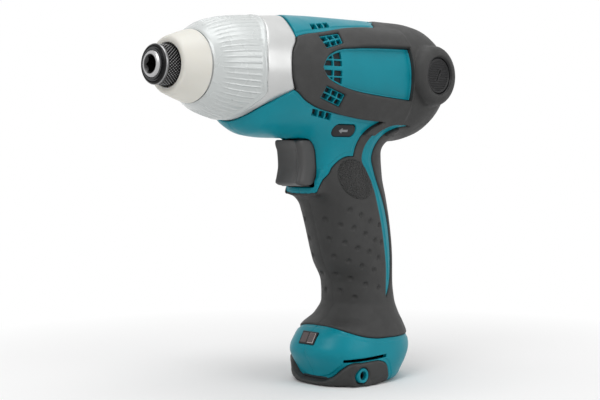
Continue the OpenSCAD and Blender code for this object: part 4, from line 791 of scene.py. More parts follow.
# The housing's skin: one smooth surface, parted along the side outlines
v, t = surface_nets(body_field, SKIN_LOW, SKIN_HIGH, SKIN_STEP)
v = onto_body(v)
curves = {"soft": SOFT, "strip": STRIP, "plate": PLATE, "foot": FOOT, "front": FRONT}
poly = {name: outline(shares) for name, shares in curves.items()}
poly.update(grid_top=np.array(GRID_TOP), grid_low=np.array(GRID_LOW), slot=np.array(SLOT))
vents = []
for quad in (GRID_TOP, GRID_LOW):
    vents += cells_of(quad, 2, 3, 0.75, 0.4)
for quad in (SLOTS_TOP, SLOTS_LOW):
    vents += cells_of(quad, 1, 3, 1.0, 0.05)
LEAN = math.radians(LENS[2])


def fan_field(x, z, plate):
    """Vents in the round front of the side plate."""
    out = np.full(len(x), OUTSIDE)
    for x0, x1 in FAN_X:
        for z0, z1 in FAN_Z:
            cell = box2(x, z, (x0 + x1) / 2, FAN_AXIS + (z0 + z1) / 2, (x1 - x0) / 2, (z1 - z0) / 2, 0.3)
            out = np.maximum(out, np.minimum(cell, plate - 1.0))
    return out


def fields(v):
    """Columns: normal, then the distances that part the skin, each positive inside its outline."""
    g = gradient(v)
    n = g / np.linalg.norm(g, axis=1)[:, None]
    x, y, z = v.T
    out = {name: np.abs(y) - start for name, start in SIDE_FROM.items()}
    d = {k: polygon_distance(p, x, z, n) for k, p in poly.items()}
    soft = np.minimum.reduce([d["soft"], -d["plate"], -d["strip"], -d["grid_top"], -d["grid_low"]])
    front = np.maximum(d["front"], FRONT_FOOT - z)
    trigger = box2(y, z, 0, (TRIGGER_Z0 + TRIGGER_Z1) / 2, *TRIGGER_HOLE)
    lever = np.minimum(box2(x, z, *LEVER, *LEVER_HOLE), out["lever"])
    along_lens = -(x - LENS[0]) * math.sin(LEAN) + (z - LENS[1]) * math.cos(LEAN)
    lens = box2(y, along_lens, 0, 0, *LENS_HOLE)
    trigger, lens = np.minimum(trigger, x - AHEAD), np.minimum(lens, x - AHEAD)
    slot = np.minimum(d["slot"], out["slot"])
    cap = np.minimum(CAP_HOLE - np.hypot(x - BRUSH_X, z - AXIS), out["cap"])
    ring = np.minimum(RING_HOLE - np.hypot(x - HOOK[0], z - HOOK[1]), out["ring"])
    gland = np.minimum(GLAND_R - np.hypot(x - GLAND_X, y), GLAND_TOP - z)
    hole = np.full(len(x), OUTSIDE)
    for p in vents:
        near = (out["grid"] > 0) & (np.hypot(x - p[:, 0].mean(), z - p[:, 1].mean()) < 9)
        hole[near] = np.maximum(hole[near], polygon_distance(p, x[near], z[near], n[near]))
    hole = np.maximum(hole, np.minimum(fan_field(x, z, d["plate"]), out["fan"]))
    screw = np.full(len(x), OUTSIDE)
    for a, b in SCREWS:
        screw = np.maximum(screw, SCREW_HOLE - np.hypot(x - along(a), z - AXIS - b * HEAD_R))
    screw = np.minimum(screw, -y - SIDE_FROM["screw"])
    parts = [soft, d["foot"], front, trigger, lever, lens, slot, cap, ring, gland, hole, screw, d["plate"]]
    return np.column_stack([n, *parts])


SOFT_C, FOOT_C, FRONT_C, TRIG, LEV, LED, SLT, CAP, RING, GLAND, HOLE, SCREW, PLATE_C = range(3, 16)
EDGES = [SOFT_C, FOOT_C, FRONT_C, TRIG, LEV, LED, SLT, CAP, RING, HOLE, SCREW]


def edge_limit(limit):
    """Longest edge allowed at a point: short along every parting line and on the dimpled handle."""
    def at(m):
        near = np.abs(fields(m)[:, EDGES]).min(1)
        dimpled = (m[:, 2] > DIMPLED_Z[0]) & (m[:, 2] < DIMPLED_Z[1]) & (np.abs(m[:, 1]) > 5)
        return np.where(near < 2.0 + limit, limit, np.where(dimpled, max(limit, 0.7), 9.0))
    return at


for limit in (1.0, 0.55):
    v, t = refine(v, t, edge_limit(limit), onto_body)
base_v, base_t = v, t
base_a = fields(v)


def quarter(e, width, depth):
    """Drop of a rounded edge at a distance from it."""
    s = np.clip(1 - e / width, 0, 1)
    return depth * (1 - np.sqrt(1 - s * s))


def skin(name, side, keeps, shape, material, depth):
    """A piece of the skin: parted by its distances, shaped along its normals, with walls inwards."""
    v, t, a = base_v, base_t, np.column_stack([base_a, side * base_v[:, 1] - 0.05])
    for k in keeps:
        v, t, a = clip(v, t, a, k(a))
    n = a[:, :3] / np.linalg.norm(a[:, :3], axis=1)[:, None]
    edge = np.minimum.reduce([k(a) for k in keeps if k is not seam])
    v = v + n * shape(v, a, edge)[:, None]
    v[:, 2] = np.maximum(v[:, 2], 0)
    v, t = with_skirt(v, t, n, depth)
    return add_mesh(name, v, t, material, "housing")


def seam(a):
    """Distance from the plane where the two halves meet."""
    return a[:, -1]


def dimples(v):
    """Small round hollows in the handle's sides."""
    out = np.zeros(len(v))
    half = base_v[base_v[:, 1] > 4]
    for x, z in DIMPLES:
        c = half[np.argmin((half[:, 0] - x) ** 2 + (half[:, 2] - z) ** 2)]
        r2 = (v[:, 0] - c[0]) ** 2 + (np.abs(v[:, 1]) - c[1]) ** 2 + (v[:, 2] - c[2]) ** 2
        out -= DIMPLE_DEEP * np.clip(1 - r2 / DIMPLE_R ** 2, 0, 1) ** 0.7
    return out


def ease_in(t):
    """Soft step from 0 to 1."""
    t = np.clip(t, 0, 1)
    return t * t * (3 - 2 * t)


def bow(v, n):
    """The base draws in towards the foot in front and behind, so that the boot stands out as a ledge."""
    out = np.zeros(len(v))
    for way, (deep, high, start, reach) in ((1, BOW_FRONT), (-1, BOW_REAR)):
        drawn = ease_in((BOW_TOP - v[:, 2]) / high) * np.clip((way * v[:, 0] - start) / reach, 0, 1)
        out -= deep * drawn * np.sqrt(np.maximum(way * n[:, 0], 0))
    return out


def teal_shape(v, a, edge):
    """A low shelf beside the soft cover, a sunk side plate and rounded edges."""
    to_soft = np.minimum(-a[:, SOFT_C], -a[:, FOOT_C]) - GAP
    shelf = -SHELF_DEEP * np.clip((SHELF_WIDE - to_soft) / SHELF_EASE, 0, 1)
    shelf *= np.clip(to_soft / SHELF_EASE + 0.3, 0, 1)
    inside_plate = -PLATE_DEEP * np.clip(a[:, PLATE_C] / PLATE_EASE, 0, 1)
    drop = quarter(edge, 0.45, 0.3) + quarter(seam(a), 0.3, 0.15)
    return shelf * (1 - np.clip(a[:, PLATE_C], 0, 1)) + inside_plate - drop + bow(v, a[:, :3])


def soft_shape(v, a, edge):
    """The soft cover stands proud, with a thicker rim on the head, a thumb pad and the handle's hollows."""
    x, z = v[:, 0], v[:, 2]
    rail = RAIL_HIGH * ease_in((RAIL_FRONT - x) / RAIL_FRONT_EASE) * ease_in((x - RAIL_REAR) / RAIL_REAR_EASE)
    rail *= ease_in((np.abs(a[:, 1]) - 0.5) / 0.3) * (z > RAIL_FOOT)
    dx, dz = x - PAD[0], z - PAD[1]
    along_pad, up_pad = PAD_COS * dx + PAD_SIN * dz, PAD_COS * dz - PAD_SIN * dx
    within = 1 - np.hypot(along_pad / PAD[2], up_pad / PAD[3])
    pad = PAD_PROUD * ease_in(within / PAD_EASE) * (np.abs(v[:, 1]) > 4)
    drop = quarter(edge, 1.0, 0.75) + quarter(seam(a), 0.25, 0.1)
    return PROUD + rail + pad + dimples(v) * np.clip(edge / 2, 0, 1) - drop


def boot_shape(v, a, edge):
    """Rounded rim, and a flat pad on each side round the hook's hole."""
    across = np.abs(v[:, 1])
    to_pad = np.clip((PAD_Y - across) / np.maximum(np.abs(a[:, 1]), 0.5), 0, 2.2)
    flat = ease_in((BOOT_FLAT_HALF - np.abs(v[:, 0] - BOOT_FLAT_X)) / BOOT_FLAT_EASE)
    pad = to_pad * flat * (across > 10) * np.clip(v[:, 2] / 1.5, 0, 1)
    return np.maximum(PROUD, pad) - quarter(edge, 1.3, 1.0)


def kept_by(column, sign, gap=0.0):
    """Keeps one side of a parting line, less a gap."""
    return lambda a: sign * a[:, column] - gap


to_front = kept_by(FRONT_C, 1, 0.1)
for side, word in ((1, "left"), (-1, "right")):
    holes = [kept_by(c, -1) for c in (TRIG, LEV, LED, SLT, CAP, GLAND, HOLE)]
    if side < 0:
        holes.append(kept_by(SCREW, -1))
    keeps = [seam, kept_by(SOFT_C, -1, GAP), kept_by(FOOT_C, -1, GAP), to_front] + holes
    shell = skin("shell_" + word, side, keeps, teal_shape, teal, SHELL_DEPTH)
    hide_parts("housing_" + word)
    keeps = [seam, kept_by(SOFT_C, 1, GAP), to_front] + holes
    cover = skin("soft_" + word, side, keeps, soft_shape, rubber, SOFT_DEPTH)
    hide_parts("overmould_" + word)
keeps = [kept_by(FOOT_C, 1, GAP), kept_by(RING, -1), kept_by(GLAND, -1)]
boot = skin("boot", 1, keeps, boot_shape, rubber, BOOT_DEPTH)
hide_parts("foot_boot")

# Near-black lining behind the vents and seams, painted shade of the tool's inside, cut wider where the
# trigger moves
lv, lt, la = base_v, base_t, base_a
for c in (TRIG, LEV, LED, CAP, GLAND, SLT):
    lv, lt, la = clip(lv, lt, la, -la[:, c] - (TRIGGER_ROOM if c == TRIG else 0.0))
lv, lt, la = clip(lv, lt, la, la[:, FRONT_C] - 0.5)
ln = la[:, :3] / np.linalg.norm(la[:, :3], axis=1)[:, None]
lv = lv - ln * (LINING_DEPTH - bow(lv, ln))[:, None]
add_mesh("painted_shade_lining", lv, lt, inside, "housing")

# Nose: case, cover, bumper, sleeve, anvil
skin_x = [along(s[0]) for s in NOSE_SKIN]
skin_r = smooth_curve(skin_x, [s[1] * HEAD_R for s in NOSE_SKIN])


def side_piece(name, x0, x1, rows, count, keep, shape, material, depth):
    """Part of the turned nose, parted along a side outline and shaped along its normals."""
    xs = np.linspace(x0, x1, rows)
    v, q = lathe(np.column_stack([xs, skin_r(xs)]), count, closed=False)
    t = np.concatenate([q[:, [0, 2, 1]], q[:, [0, 3, 2]]])
    slope = (skin_r(v[:, 0] + 0.05) - skin_r(v[:, 0] - 0.05)) / 0.1
    ang = np.arctan2(v[:, 2] - AXIS, v[:, 1])
    n = np.stack([-slope, np.cos(ang), np.sin(ang)], 1)
    n /= np.linalg.norm(n, axis=1)[:, None]
    a, b, c = v[t[0]]
    if np.dot(np.cross(b - a, c - a), n[t[0, 0]]) < 0:
        t = t[:, ::-1]
    a = np.column_stack([n, keep(v, n)])
    v, t, a = clip(v, t, a, a[:, 3])
    n = a[:, :3] / np.linalg.norm(a[:, :3], axis=1)[:, None]
    v = v + n * shape(v, n, a[:, 3])[:, None]
    v, t = with_skirt(v, t, n, depth)
    return add_mesh(name, v, t, material, "housing")


cover_z = [AXIS + b * HEAD_R for _, b in COVER]
cover_x = smooth_curve(cover_z, [along(a) for a, _ in COVER])


def cover_edge(v, n):
    """Distance ahead of the cover's rear edge along the surface."""
    slope = (cover_x(v[:, 2] + 0.1) - cover_x(v[:, 2] - 0.1)) / 0.2
    return (v[:, 0] - cover_x(v[:, 2])) / np.sqrt(1 + (slope * n[:, 1]) ** 2)


COVER_END = along(0.822) - 0.15


def cover_shape(v, n, edge):
    """Fine ribs along the cover, fading out at both ends, and a bead along its rear edge."""
    back = cover_edge(v, n)
    ang = np.arctan2(v[:, 2] - AXIS, v[:, 1])
    pitch = 2 * np.pi / RIBS
    off = np.abs((ang / pitch) % 1 - 0.5) * pitch * skin_r(v[:, 0])
    rib = RIB_HIGH * np.exp(-(off / RIB_WIDE) ** 2)
    fade = ease_in(back - RIB_REAR) * ease_in((RIB_FRONT - v[:, 0]) / 5)
    bead = BEAD_HIGH * np.sqrt(np.clip(1 - ((back - BEAD_AT) / BEAD_HALF) ** 2, 0, 1))
    return rib * fade + bead - quarter(edge, 0.4, 0.3)


def on_cover(v, n):
    return np.minimum(cover_edge(v, n), COVER_END - v[:, 0])


def on_band(v, n):
    """Bare part of the case between the housing's front and the cover."""
    ahead = -polygon_distance(poly["front"], v[:, 0], v[:, 2], n)
    return np.minimum(ahead, -cover_edge(v, n)) - 0.12


def band_shape(v, n, edge):
    return -quarter(edge, 0.4, 0.3)


cover = side_piece("nose_cover", 62.0, COVER_END + 0.05, 72, 1080, on_cover, cover_shape, clear,
                   1.2)
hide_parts("case_cover")
side_piece("case_band", along(0.362), along(0.8), 90, 360, on_band, band_shape, silver, 1.3)
case_profile = [(40.5, 24.4, 0.5), (54, 24.4, 0)] + [
    (x, min(float(skin_r(x)) - 1.6, 24.4), 0) for x in np.linspace(56, along(0.82), 14)] + [
    (along(0.822), 12.55, 0.3), (115.4, 12.55, 0.4), (115.4, 7.85, 0.3), (113, 7.85, 0), (113, 9.6, 0),
    (97.4, 9.6, 0), (97.4, 13.4, 0), (96.5, 13.4, 0), (96.5, 17.2, 0), (88.9, 17.2, 0), (88.9, 20.7, 0),
    (64.4, 20.7, 0), (64.4, 22.75, 0), (40.5, 22.75, 0)]
cv, cf = lathe(rounded_profile(case_profile), 160)
case = add_mesh("hammer_case_body", cv, cf[:, ::-1], silver, "housing", sharp=35)
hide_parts("hammer_case")

bumper_profile = rounded_profile([
    (106.42, 12.7, 0.2), (106.42, 17.22, 0.35), (109.2, 16.6, 0.9), (113.0, 15.4, 1.2), (116.4, 14.3, 1.2),
    (119.4, 13.1, 1.6), (119.4, 10.25, 0.6), (115.5, 10.25, 0.2), (115.5, 12.7, 0.2)], 6)
cv, cf = lathe(bumper_profile, 192)
bumper = add_mesh("nose_bumper_ring", cv, cf[:, ::-1], cream, "housing", sharp=50)
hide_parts("nose_bumper")


def sleeve_mesh():
    """Quick-change sleeve: a smooth rounded flange behind, a diamond knurl, and a rounded lip in front."""
    x0, x1 = KNURL_X
    flange = [(116.25, 8.6), (116.3, 9.2), (116.5, 9.5), (116.8, 9.62), (117.2, 9.64), (117.5, 9.55)]
    flange.append((x0, 9.3))
    knurl = [(x, KNURL_R) for x in np.linspace(x0 + 0.2, x1 - 0.2, 60)]
    lip = [(x1, 9.3), (125.7, 9.42), (126.3, 9.42), (126.8, 9.2), (127.2, 8.85), (127.5, 8.5), (127.58, 8.25)]
    inner = [(127.2, 8.22), (121.5, 8.2), (121.45, 6.72), (119.1, 6.72), (116.25, 7.7)]
    v, f = lathe(flange + knurl + lip + inner, 640)
    a = np.arctan2(v[:, 2] - AXIS, v[:, 1])
    x = v[:, 0]
    r = np.hypot(v[:, 1], v[:, 2] - AXIS)
    zone = np.clip((x - x0) / KNURL_EASE, 0, 1) * np.clip((x1 - x) / KNURL_EASE, 0, 1) * (r > 8.9)
    turns = a * KNURLS / (2 * np.pi)
    one, two = (np.abs((turns + lean * x) % 1 - 0.5) * 2 for lean in (KNURL_LEAN, -KNURL_LEAN))
    high = KNURL_HIGH * np.minimum(one, 0.35 + 0.65 * two) * zone - KNURL_DEEP * zone
    v[:, 1] += np.cos(a) * high
    v[:, 2] += np.sin(a) * high
    return v, f[:, ::-1]


sv, sf = sleeve_mesh()
sleeve = add_mesh("bit_sleeve", sv, sf, knurl_painted_light, "sleeve", sharp=60)
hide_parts("sleeve")


def lug_mesh(turn, start):
    """One of the anvil's two lugs; its points are numbered from a start."""
    arc = np.linspace(np.pi / 2 - LUG_HALF_TURN, np.pi / 2 + LUG_HALF_TURN, 13) + turn
    v = [[x, r * math.cos(b), AXIS + r * math.sin(b)] for x in LUG_X for r in LUG_R for b in arc]
    m = len(arc)
    corner = [start + i * m for i in range(4)]
    f = []
    for a, b in ((0, 1), (1, 3), (3, 2), (2, 0)):
        f += [[corner[a] + i, corner[b] + i, corner[b] + i + 1, corner[a] + i + 1] for i in range(m - 1)]
    a, b, c, d = corner
    return v, f + [[a, c, d, b], [a + m - 1, b + m - 1, d + m - 1, c + m - 1]]


def anvil_mesh():
    """Anvil with a bevelled nose and hex socket, a journal and two lugs."""
    count = 192
    a = circle(count)
    hexagon = SOCKET / np.cos((a - np.pi / 2 + np.pi / 6) % (np.pi / 3) - np.pi / 6)
    rows = [(107.0, 0.15), (107.0, hexagon), (126.8, hexagon)]
    for d in np.linspace(1.9, 0, 11):
        rows.append((NOSE - d, np.maximum(hexagon, SOCKET_MOUTH - SOCKET_SLOPE * d)))
    rows += [
        (NOSE, 5.0), (128.9, 5.35), (128.5, 5.85), (128.05, 6.2), (127.6, 6.3), (114.0, 6.3), (114.0, 7.3),
        (113.8, 7.5), (96.5, 7.5), (96.5, 9.4), (96.4, 9.5), (89.6, 9.5), (89.5, 9.4), (89.5, 3.55),
        (100.5, 3.55), (100.5, 0.15),
    ]
    v = [np.stack([np.full(count, x), r * np.cos(a), AXIS + r * np.sin(a)], 1) for x, r in rows]
    v = np.concatenate(v).tolist()
    f = closed_faces(count, len(rows))
    for turn in (0, np.pi):
        lug_v, lug_f = lug_mesh(turn, len(v))
        v += lug_v
        f += lug_f
    return v, flipped(f)


av, af = anvil_mesh()
anvil = add_mesh("anvil_nose", av, af, socket_steel_painted_shade, "anvil", sharp=30)
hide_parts("anvil")


# Trigger and its spring
# Share of the trigger's height, and how far ahead its face and its rear are there
TRIGGER_FACE = [
    (0.0, 39.0), (0.03, 42.2), (0.09, 43.9), (0.2, 43.2), (0.45, 42.1), (0.75, 42.7), (0.93, 44.1),
    (1.0, 43.9),
]
TRIGGER_REAR = [(0.0, 37.0), (0.06, 34.4), (0.15, 32.2), (0.3, 30.0), (0.45, 28.6), (1.0, 28.1)]


def trigger_mesh():
    """Rings from bottom to top: a dished finger face between two ridges, then rounded sides."""
    z0, z1, half = TRIGGER_Z0 + 0.05, TRIGGER_Z1 - 0.05, TRIGGER_HALF - 0.05
    high = z1 - z0
    face = smooth_curve(*zip(*TRIGGER_FACE))
    rear = smooth_curve(*zip(*TRIGGER_REAR))
    ends = [0.0, 0.004, 0.014, 0.03, 0.05, 0.08], [0.96, 0.975, 0.988, 0.996, 1.0]
    levels = np.concatenate([ends[0], np.linspace(0.12, 0.94, 26), ends[1]])
    rings = []
    for s in levels:
        low, top = max(0.0, 1 - s * high / 1.6), max(0.0, 1 - (1 - s) * high / 0.9)
        inset = 1.4 * (1 - math.sqrt(max(0, 1 - low * low))) + 0.8 * (1 - math.sqrt(max(0, 1 - top * top)))
        xf, xr, h, w = float(face(s)) - inset, float(rear(s)) + inset, half - inset, RIDGE - inset
        dish = DISH * math.sin(math.pi * s) ** 0.5 if 0 < s < 1 else 0
        quarter_turn = np.linspace(0.0, math.pi / 2, 8)
        corner = [(xf - RIDGE_DEEP * (1 - math.cos(b)), w + (h - w) * math.sin(b)) for b in quarter_turn]
        pts = [(xr, h), (xr, -h)] + [(x, -h) for x in np.linspace(xr + 0.8, xf - 3.9, 6)]
        pts += [(x, -y) for x, y in corner[::-1]]
        pts += [(xf - dish * (1 - abs(y / w) ** 2.6), y) for y in np.linspace(-w, w, 23)[1:-1]]
        pts += corner + [(x, h) for x in np.linspace(xf - 3.9, xr + 0.8, 6)]
        rings.append([(x, y, z0 + s * high) for x, y in pts])
    return [p for r in rings for p in r], closed_faces(len(rings[0]), len(rings))


tv, tf = trigger_mesh()
trigger = add_mesh("trigger_lever", tv, tf, trigger_grey, "trigger", sharp=50)
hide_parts("trigger")


def coil_mesh(x0, x1, z, radius, wire, turns):
    """Coil spring along the tool, a round wire with closed ends."""
    ring = 10
    t = np.linspace(0, 1, turns * 28 + 1)
    a = 2 * np.pi * turns * t
    b = circle(ring)
    reach = radius + wire * np.cos(b)[None, :]
    x = (x0 + wire + (x1 - x0 - 2 * wire) * t)[:, None] + wire * np.sin(b)[None, :]
    v = np.stack([x, reach * np.cos(a)[:, None], z + reach * np.sin(a)[:, None]], -1).reshape(-1, 3)
    return v, flipped(closed_faces(ring, len(t)))


# Shown at its pressed length, so that it stays inside the trigger at both ends of the travel
cv, cf = coil_mesh(20.9, 29.0, TRIGGER_Z0 + 0.75 * (TRIGGER_Z1 - TRIGGER_Z0), 2.6, 0.4, 7)
coil = add_mesh("trigger_coil", cv, cf, bright, "housing")
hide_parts("trigger_spring")


# Small pieces
def plate_mesh(pts, y0, y1, side, round_in, steps):
    """Flat piece with a side outline, its outer edge rounded, facing one side."""
    pts = np.asarray(pts, float)
    c = pts.mean(0)
    d = pts - c
    size = np.linalg.norm(d, axis=1)[:, None]
    rings = [(y0, 0.0)] + [(y1 - round_in * (1 - math.sin(b)), round_in * (1 - math.cos(b)))
                           for b in np.linspace(0, math.pi / 2, steps + 1)]
    v = []
    for y, inset in rings:
        q = c + d * (1 - inset / size)
        v += [(x, side * y, z) for x, z in q]
    f = closed_faces(len(pts), len(rings))
    return v, flipped(f) if side > 0 else f


def stadium(cx, cz, half_long, half_high):
    """Side outline with two round ends."""
    a = np.linspace(-np.pi / 2, np.pi / 2, 12)
    r = half_high
    right = [(cx + half_long - r + r * math.cos(b), cz + r * math.sin(b)) for b in a]
    left = [(cx - half_long + r - r * math.cos(b), cz - r * math.sin(b)) for b in a]
    return right + left


def with_body(v, side):
    """Tilts the outer end of a button so that its face follows the housing."""
    up, ahead = 0.44, 0.08
    tilted = []
    for x, y, z in v:
        if abs(y) > 12:
            y += side * (up * (z - LEVER[1]) - ahead * (x - LEVER[0]))
        tilted.append((x, y, z))
    return tilted


ARROW = [(-2.6, 0.55), (-2.6, -0.55), (1.2, -0.55), (1.2, -1.35), (3.4, 0.0), (1.2, 1.35), (1.2, 0.55)]
button = stadium(*LEVER, 7.75, 3.05)
for side, word in ((1, "left"), (-1, "right")):
    bv, bf = plate_mesh(button, 10.5, 17.7, side, 0.7, 4)
    bv = with_body(bv, side)
    knob = add_mesh("reverse_button_" + word, bv, bf, black, "reversing_lever", sharp=50)
    arrow = [(LEVER[0] + side * a, LEVER[1] + b) for a, b in ARROW][::side]
    bv, bf = plate_mesh(arrow, 17.4, 17.78, side, 0.08, 2)
    bv = with_body(bv, side)
    add_mesh("reverse_arrow_" + word, bv, bf, mark, "reversing_lever", sharp=40)
bv, bf = plate_mesh(stadium(*LEVER, 4.0, 2.0), -10.5, 10.5, 1, 0.3, 3)
add_mesh("reverse_bar", bv, bf, black, "reversing_lever", sharp=50)
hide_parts("reversing_lever")


def cap_mesh(side):
    """Brush cap: finely ribbed face with a slot for a screwdriver."""
    step = 0.18
    g = np.arange(-CAP_R - step, CAP_R + 2 * step, step)
    n = len(g)
    x, z = np.meshgrid(g, g, indexing="ij")
    v = np.stack([x.ravel(), np.zeros(n * n), z.ravel()], 1)
    i, j = np.meshgrid(np.arange(n - 1), np.arange(n - 1), indexing="ij")
    q = np.stack([i * n + j, (i + 1) * n + j, (i + 1) * n + j + 1, i * n + j + 1], -1).reshape(-1, 4)
    t = np.concatenate([q[:, [0, 1, 2]], q[:, [0, 2, 3]]])
    r = np.hypot(v[:, 0], v[:, 2])
    v, t, a = clip(v, t, r[:, None], CAP_R - r)
    r = a[:, 0]
    c, s = math.cos(math.radians(CAP_TURN)), math.sin(math.radians(CAP_TURN))
    u = -v[:, 0] * c * side + v[:, 2] * s
    w = v[:, 0] * s * side + v[:, 2] * c
    slot = np.clip(box2(u, w, 0, 0, *CAP_SLOT) / 0.22, 0, 1)
    rib = CAP_RIB * np.clip(1.8 * np.abs((v[:, 2] / CAP_PITCH) % 1 - 0.5) * 2 - 0.4, 0, 1)
    pad = np.clip(box2(u, w, 0, 0, *CAP_FLAT) / 0.3, 0, 1)
    high = rib * np.clip((CAP_RIB_R - r) / 0.5, 0, 1) * (1 - pad) + CAP_RIB * pad - CAP_SLOT_DEEP * slot
    high = high + 0.25 * np.clip((r - 8.1) / 0.3, 0, 1) - quarter(CAP_R - r, 0.5, 0.5)
    y = CAP_SEAT + CAP_T - 0.35 + high
    out = np.stack([BRUSH_X + v[:, 0], side * y, AXIS + v[:, 2]], 1)
    t = t if side < 0 else t[:, ::-1]
    return with_skirt(out, t, np.tile([0.0, side, 0.0], (len(out), 1)), 2.6)


# Radius and place across of the wall round a cap, and of the ring round the tapped hole of the belt hook
CAP_WELL = [
    (CAP_R + 0.75, 33.0), (CAP_R + 0.2, 32.6), (CAP_R + 0.12, 31.8), (CAP_R + 0.12, 29.4),
    (CAP_R - 0.7, 29.3),
]
HOOK_RING = [(3.7, 20.5), (3.7, 24.25), (3.55, 24.45), (2.5, 24.45), (2.3, 24.3), (2.27, 20.5)]
ROUND_COUNT = 96
for side, word in ((1, "left"), (-1, "right")):
    cv, cf = cap_mesh(side)
    add_mesh("brush_cap_" + word, cv, cf, black, "housing")
    well = [(r, side * y) for r, y in CAP_WELL]
    wv, wf = side_rings(BRUSH_X, AXIS, well, circle(ROUND_COUNT)), ring_faces(ROUND_COUNT, len(well))
    add_mesh("brush_well_" + word, wv, wf[:, ::-side], black, "housing")
    ring = [(r, side * y) for r, y in HOOK_RING]
    wv, wf = side_rings(*HOOK, ring, circle(ROUND_COUNT)), ring_faces(ROUND_COUNT, len(ring))
    add_mesh("hook_ring_" + word, wv, wf[:, ::-side], teal, "housing", sharp=50)
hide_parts("brush_caps")


def screw_mesh(x, z):
    """Screw from the right: a shank and a head with a round socket, its rim sunk under the surface."""
    count = 36
    ang = circle(count)
    rim_x, rim_z = x + SCREW_HEAD * np.cos(ang), z + SCREW_HEAD * np.sin(ang)
    y0 = -30.0
    while y0 < -8.0 and body_field(rim_x, np.full(count, y0), rim_z).max() > -SCREW_SUNK:
        y0 += 0.25
    head = [(1.1, 1.1), (1.3, 0.0), (2.45, 0.0), (SCREW_HEAD, 0.35), (SCREW_HEAD, 2.0)]
    profile = head + [(1.5, 2.0), (1.5, 7.0), (1.2, 7.6)]
    v = side_rings(x, z, [(r, y0 + d) for r, d in profile], ang)
    return v, flipped(closed_faces(count, len(profile)))


for i, (share_x, share_z) in enumerate(SCREWS):
    wv, wf = screw_mesh(along(share_x), AXIS + share_z * HEAD_R)
    screw = add_mesh("case_screw_%d" % (i + 1), wv, wf, black_steel, "housing", sharp=40)
    if i == 0:
        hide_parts("housing_screws")


def lens_place(u, w, h):
    """A point on the light's window: across, up along it, and out of it."""
    c, s = math.cos(LEAN), math.sin(LEAN)
    return (LENS[0] - w * s + h * c, u, LENS[1] + w * c + h * s)


def lens_box(name, u0, u1, w0, w1, h0, h1, material, bevel):
    """Flat box on the light's window, bevelled round its face."""
    v = []
    for h, inset in ((h0, 0.0), (h1 - bevel, 0.0), (h1, bevel)):
        a, b, c, d = u0 + inset, u1 - inset, w0 + inset, w1 - inset
        v += [lens_place(u, w, h) for u, w in ((a, c), (b, c), (b, d), (a, d))]
    return add_mesh(name, v, closed_faces(4, 3), material, "housing", smooth=False)


window = lens_box("light_window", -5.25, 5.25, -3.55, 3.55, -1.5, 2.3, black, 0.2)
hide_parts("led_lens")
# Only the second cell's rim takes the brighter colour, a painted highlight; the first rim has the cell's
# colour
for i, (u0, u1) in enumerate(((-4.5, -0.35), (0.35, 4.5))):
    lens_box("light_rim_%d" % i, u0, u1, -2.8, 2.8, 2.0, 2.38, (lens_red, lens_painted_highlight)[i], 0.1)
    lens_box("light_cell_%d" % i, u0 + 0.12, u1 - 0.3, -2.5, 2.68, 2.0, 2.46, lens_red, 0.1)

# Materials of the CAD nodes that stay
LOOK = (
    (black_steel, ("hook_inserts", "sleeve_washer", "sleeve_ring")),
    (bright, (
        "sleeve_spring", "bit_ball_left", "bit_ball_right", "cam_balls", "hammer_washer", "hammer_balls",
        "planet_pins", "spindle_bearing_outer", "spindle_bearing_inner", "spindle_bearing_balls",
        "front_bearing_outer", "front_bearing_inner", "rear_bearing_outer", "rear_bearing_inner",
        "motor_bearing_balls", "brush_springs")),
    (steel, (
        "hammer", "hammer_spring", "spindle", "planet_gear_1", "planet_gear_2", "planet_gear_3", "ring_gear",
        "armature_shaft")),
    (black, ("switch_body", "bearing_box", "cooling_fan", "baffle_plate")),
    (rubber, ("cord_gland", "rear_rubber_ring")),
    (brass, ("anvil_bush", "brush_holders")),
    (copper, ("armature_windings", "commutator", "field_coils")),
    (core, ("armature_core", "field_core")),
    (green, ("led_board",)),
    (yellow, ("noise_suppressor",)),
    (cream, ("anvil_washer",)),
    (carbon, ("carbon_brushes",)),
)
for material, names in LOOK:
    for name in names:
        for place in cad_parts[name].material_slots:
            place.material = material


# Stage, light and camera
WHITE = (1, 1, 1, 1)
FLOOR_HALF, FLOOR_Z = 6.0, -0.0004


def seen_rays(nodes, links):
    """1 for the rays that show a background: straight, mirrored or through glass."""
    path = add_node(nodes, "LightPath").outputs
    straight = math_node(nodes, links, "MAXIMUM", path["Is Camera Ray"], path["Is Glossy Ray"])
    return math_node(nodes, links, "MAXIMUM", straight, path["Is Transmission Ray"])


def floor_material():
    """Pale floor that keeps the shadow near the part and shows plain white further out."""
    m, nodes, links, shader = new_material("floor_pale")
    co = tint(nodes, links, shader, (0.90, 0.90, 0.90), 0.01, 3)
    set_sockets(shader, {"Roughness": 0.9})
    far = add_node(nodes, "VectorMath", operation="LENGTH")
    links.new(co.outputs["Object"], far.inputs[0])
    fade = add_node(nodes, "MapRange", {"From Min": 0.05, "From Max": 0.30})
    links.new(far.outputs["Value"], fade.inputs["Value"])
    white = add_node(nodes, "Emission", {"Color": WHITE, "Strength": 1.0})
    mix = add_node(nodes, "MixShader")
    share = math_node(nodes, links, "MULTIPLY", fade.outputs["Result"], seen_rays(nodes, links))
    links.new(share, mix.inputs["Fac"])
    links.new(shader.outputs["BSDF"], mix.inputs[1])
    links.new(white.outputs["Emission"], mix.inputs[2])
    links.new(mix.outputs["Shader"], nodes["Material Output"].inputs["Surface"])
    return m


floor_mesh = bpy.data.meshes.new("floor")
floor_corners = [(a * FLOOR_HALF, b * FLOOR_HALF, FLOOR_Z) for a, b in ((-1, -1), (1, -1), (1, 1), (-1, 1))]
floor_mesh.from_pydata(floor_corners, [], [(0, 1, 2, 3)])
floor = bpy.data.objects.new("floor", floor_mesh)
bpy.context.scene.collection.objects.link(floor)
floor_mesh.materials.append(floor_material())

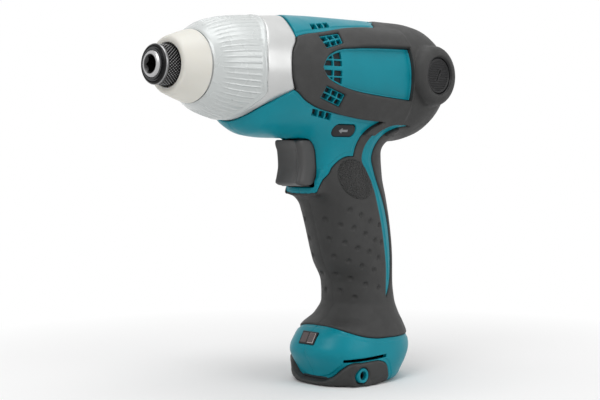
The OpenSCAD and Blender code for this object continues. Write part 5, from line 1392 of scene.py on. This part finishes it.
world = bpy.data.worlds.new("studio")
bpy.context.scene.world = world
world.use_nodes = True
nodes, links = world.node_tree.nodes, world.node_tree.links
back = nodes["Background"]
set_sockets(back, {"Color": WHITE, "Strength": 0.42})
shown = add_node(nodes, "Background", {"Color": WHITE, "Strength": 1.0})
mix = add_node(nodes, "MixShader")
links.new(seen_rays(nodes, links), mix.inputs["Fac"])
links.new(back.outputs["Background"], mix.inputs[1])
links.new(shown.outputs["Background"], mix.inputs[2])
links.new(mix.outputs["Shader"], nodes["World Output"].inputs["Surface"])


def area(name, place, target, size, power):
    """Soft light that looks at a target."""
    light = bpy.data.lights.new(name, "AREA")
    light.shape = "RECTANGLE"
    light.size, light.size_y = size
    light.energy = power
    o = bpy.data.objects.new(name, light)
    o.location = place
    o.rotation_euler = (Vector(target) - Vector(place)).to_track_quat("-Z", "Y").to_euler()
    bpy.context.scene.collection.objects.link(o)


area("key", (0.75, 0.25, 0.75), (0.03, 0, 0.12), (0.5, 0.6), 3.6)
area("fill", (-0.25, 0.9, 0.45), (0.0, 0, 0.10), (0.6, 0.6), 2.4)
area("top", (0.0, 0.1, 1.0), (0.0, 0, 0.1), (0.7, 0.7), 3.4)

# Camera: its place in metres, turn and tilt, and its focal length in pixels of a picture 600 wide
EYE = (0.48256, 0.45659, 0.120)
TURN, TILT = math.radians(44.5), math.radians(2.26)
SENSOR, FOCAL, PICTURE = 36.0, 1265, 600
scene = bpy.context.scene
forward = Vector((-math.sin(TURN) * math.cos(TILT), -math.cos(TURN) * math.cos(TILT), -math.sin(TILT)))
right = Vector((-math.cos(TURN), math.sin(TURN), 0))
up = right.cross(forward)
camera = bpy.data.cameras.new("camera")
camera.sensor_width = SENSOR
camera.lens = SENSOR * FOCAL / PICTURE
camera.clip_start, camera.clip_end = 0.01, 50
eye = bpy.data.objects.new("camera", camera)
rows = [(right[i], up[i], -forward[i], EYE[i]) for i in range(3)]
eye.matrix_world = Matrix((*rows, (0, 0, 0, 1)))
scene.collection.objects.link(eye)
scene.camera = eye
scene.view_settings.view_transform = "Standard"
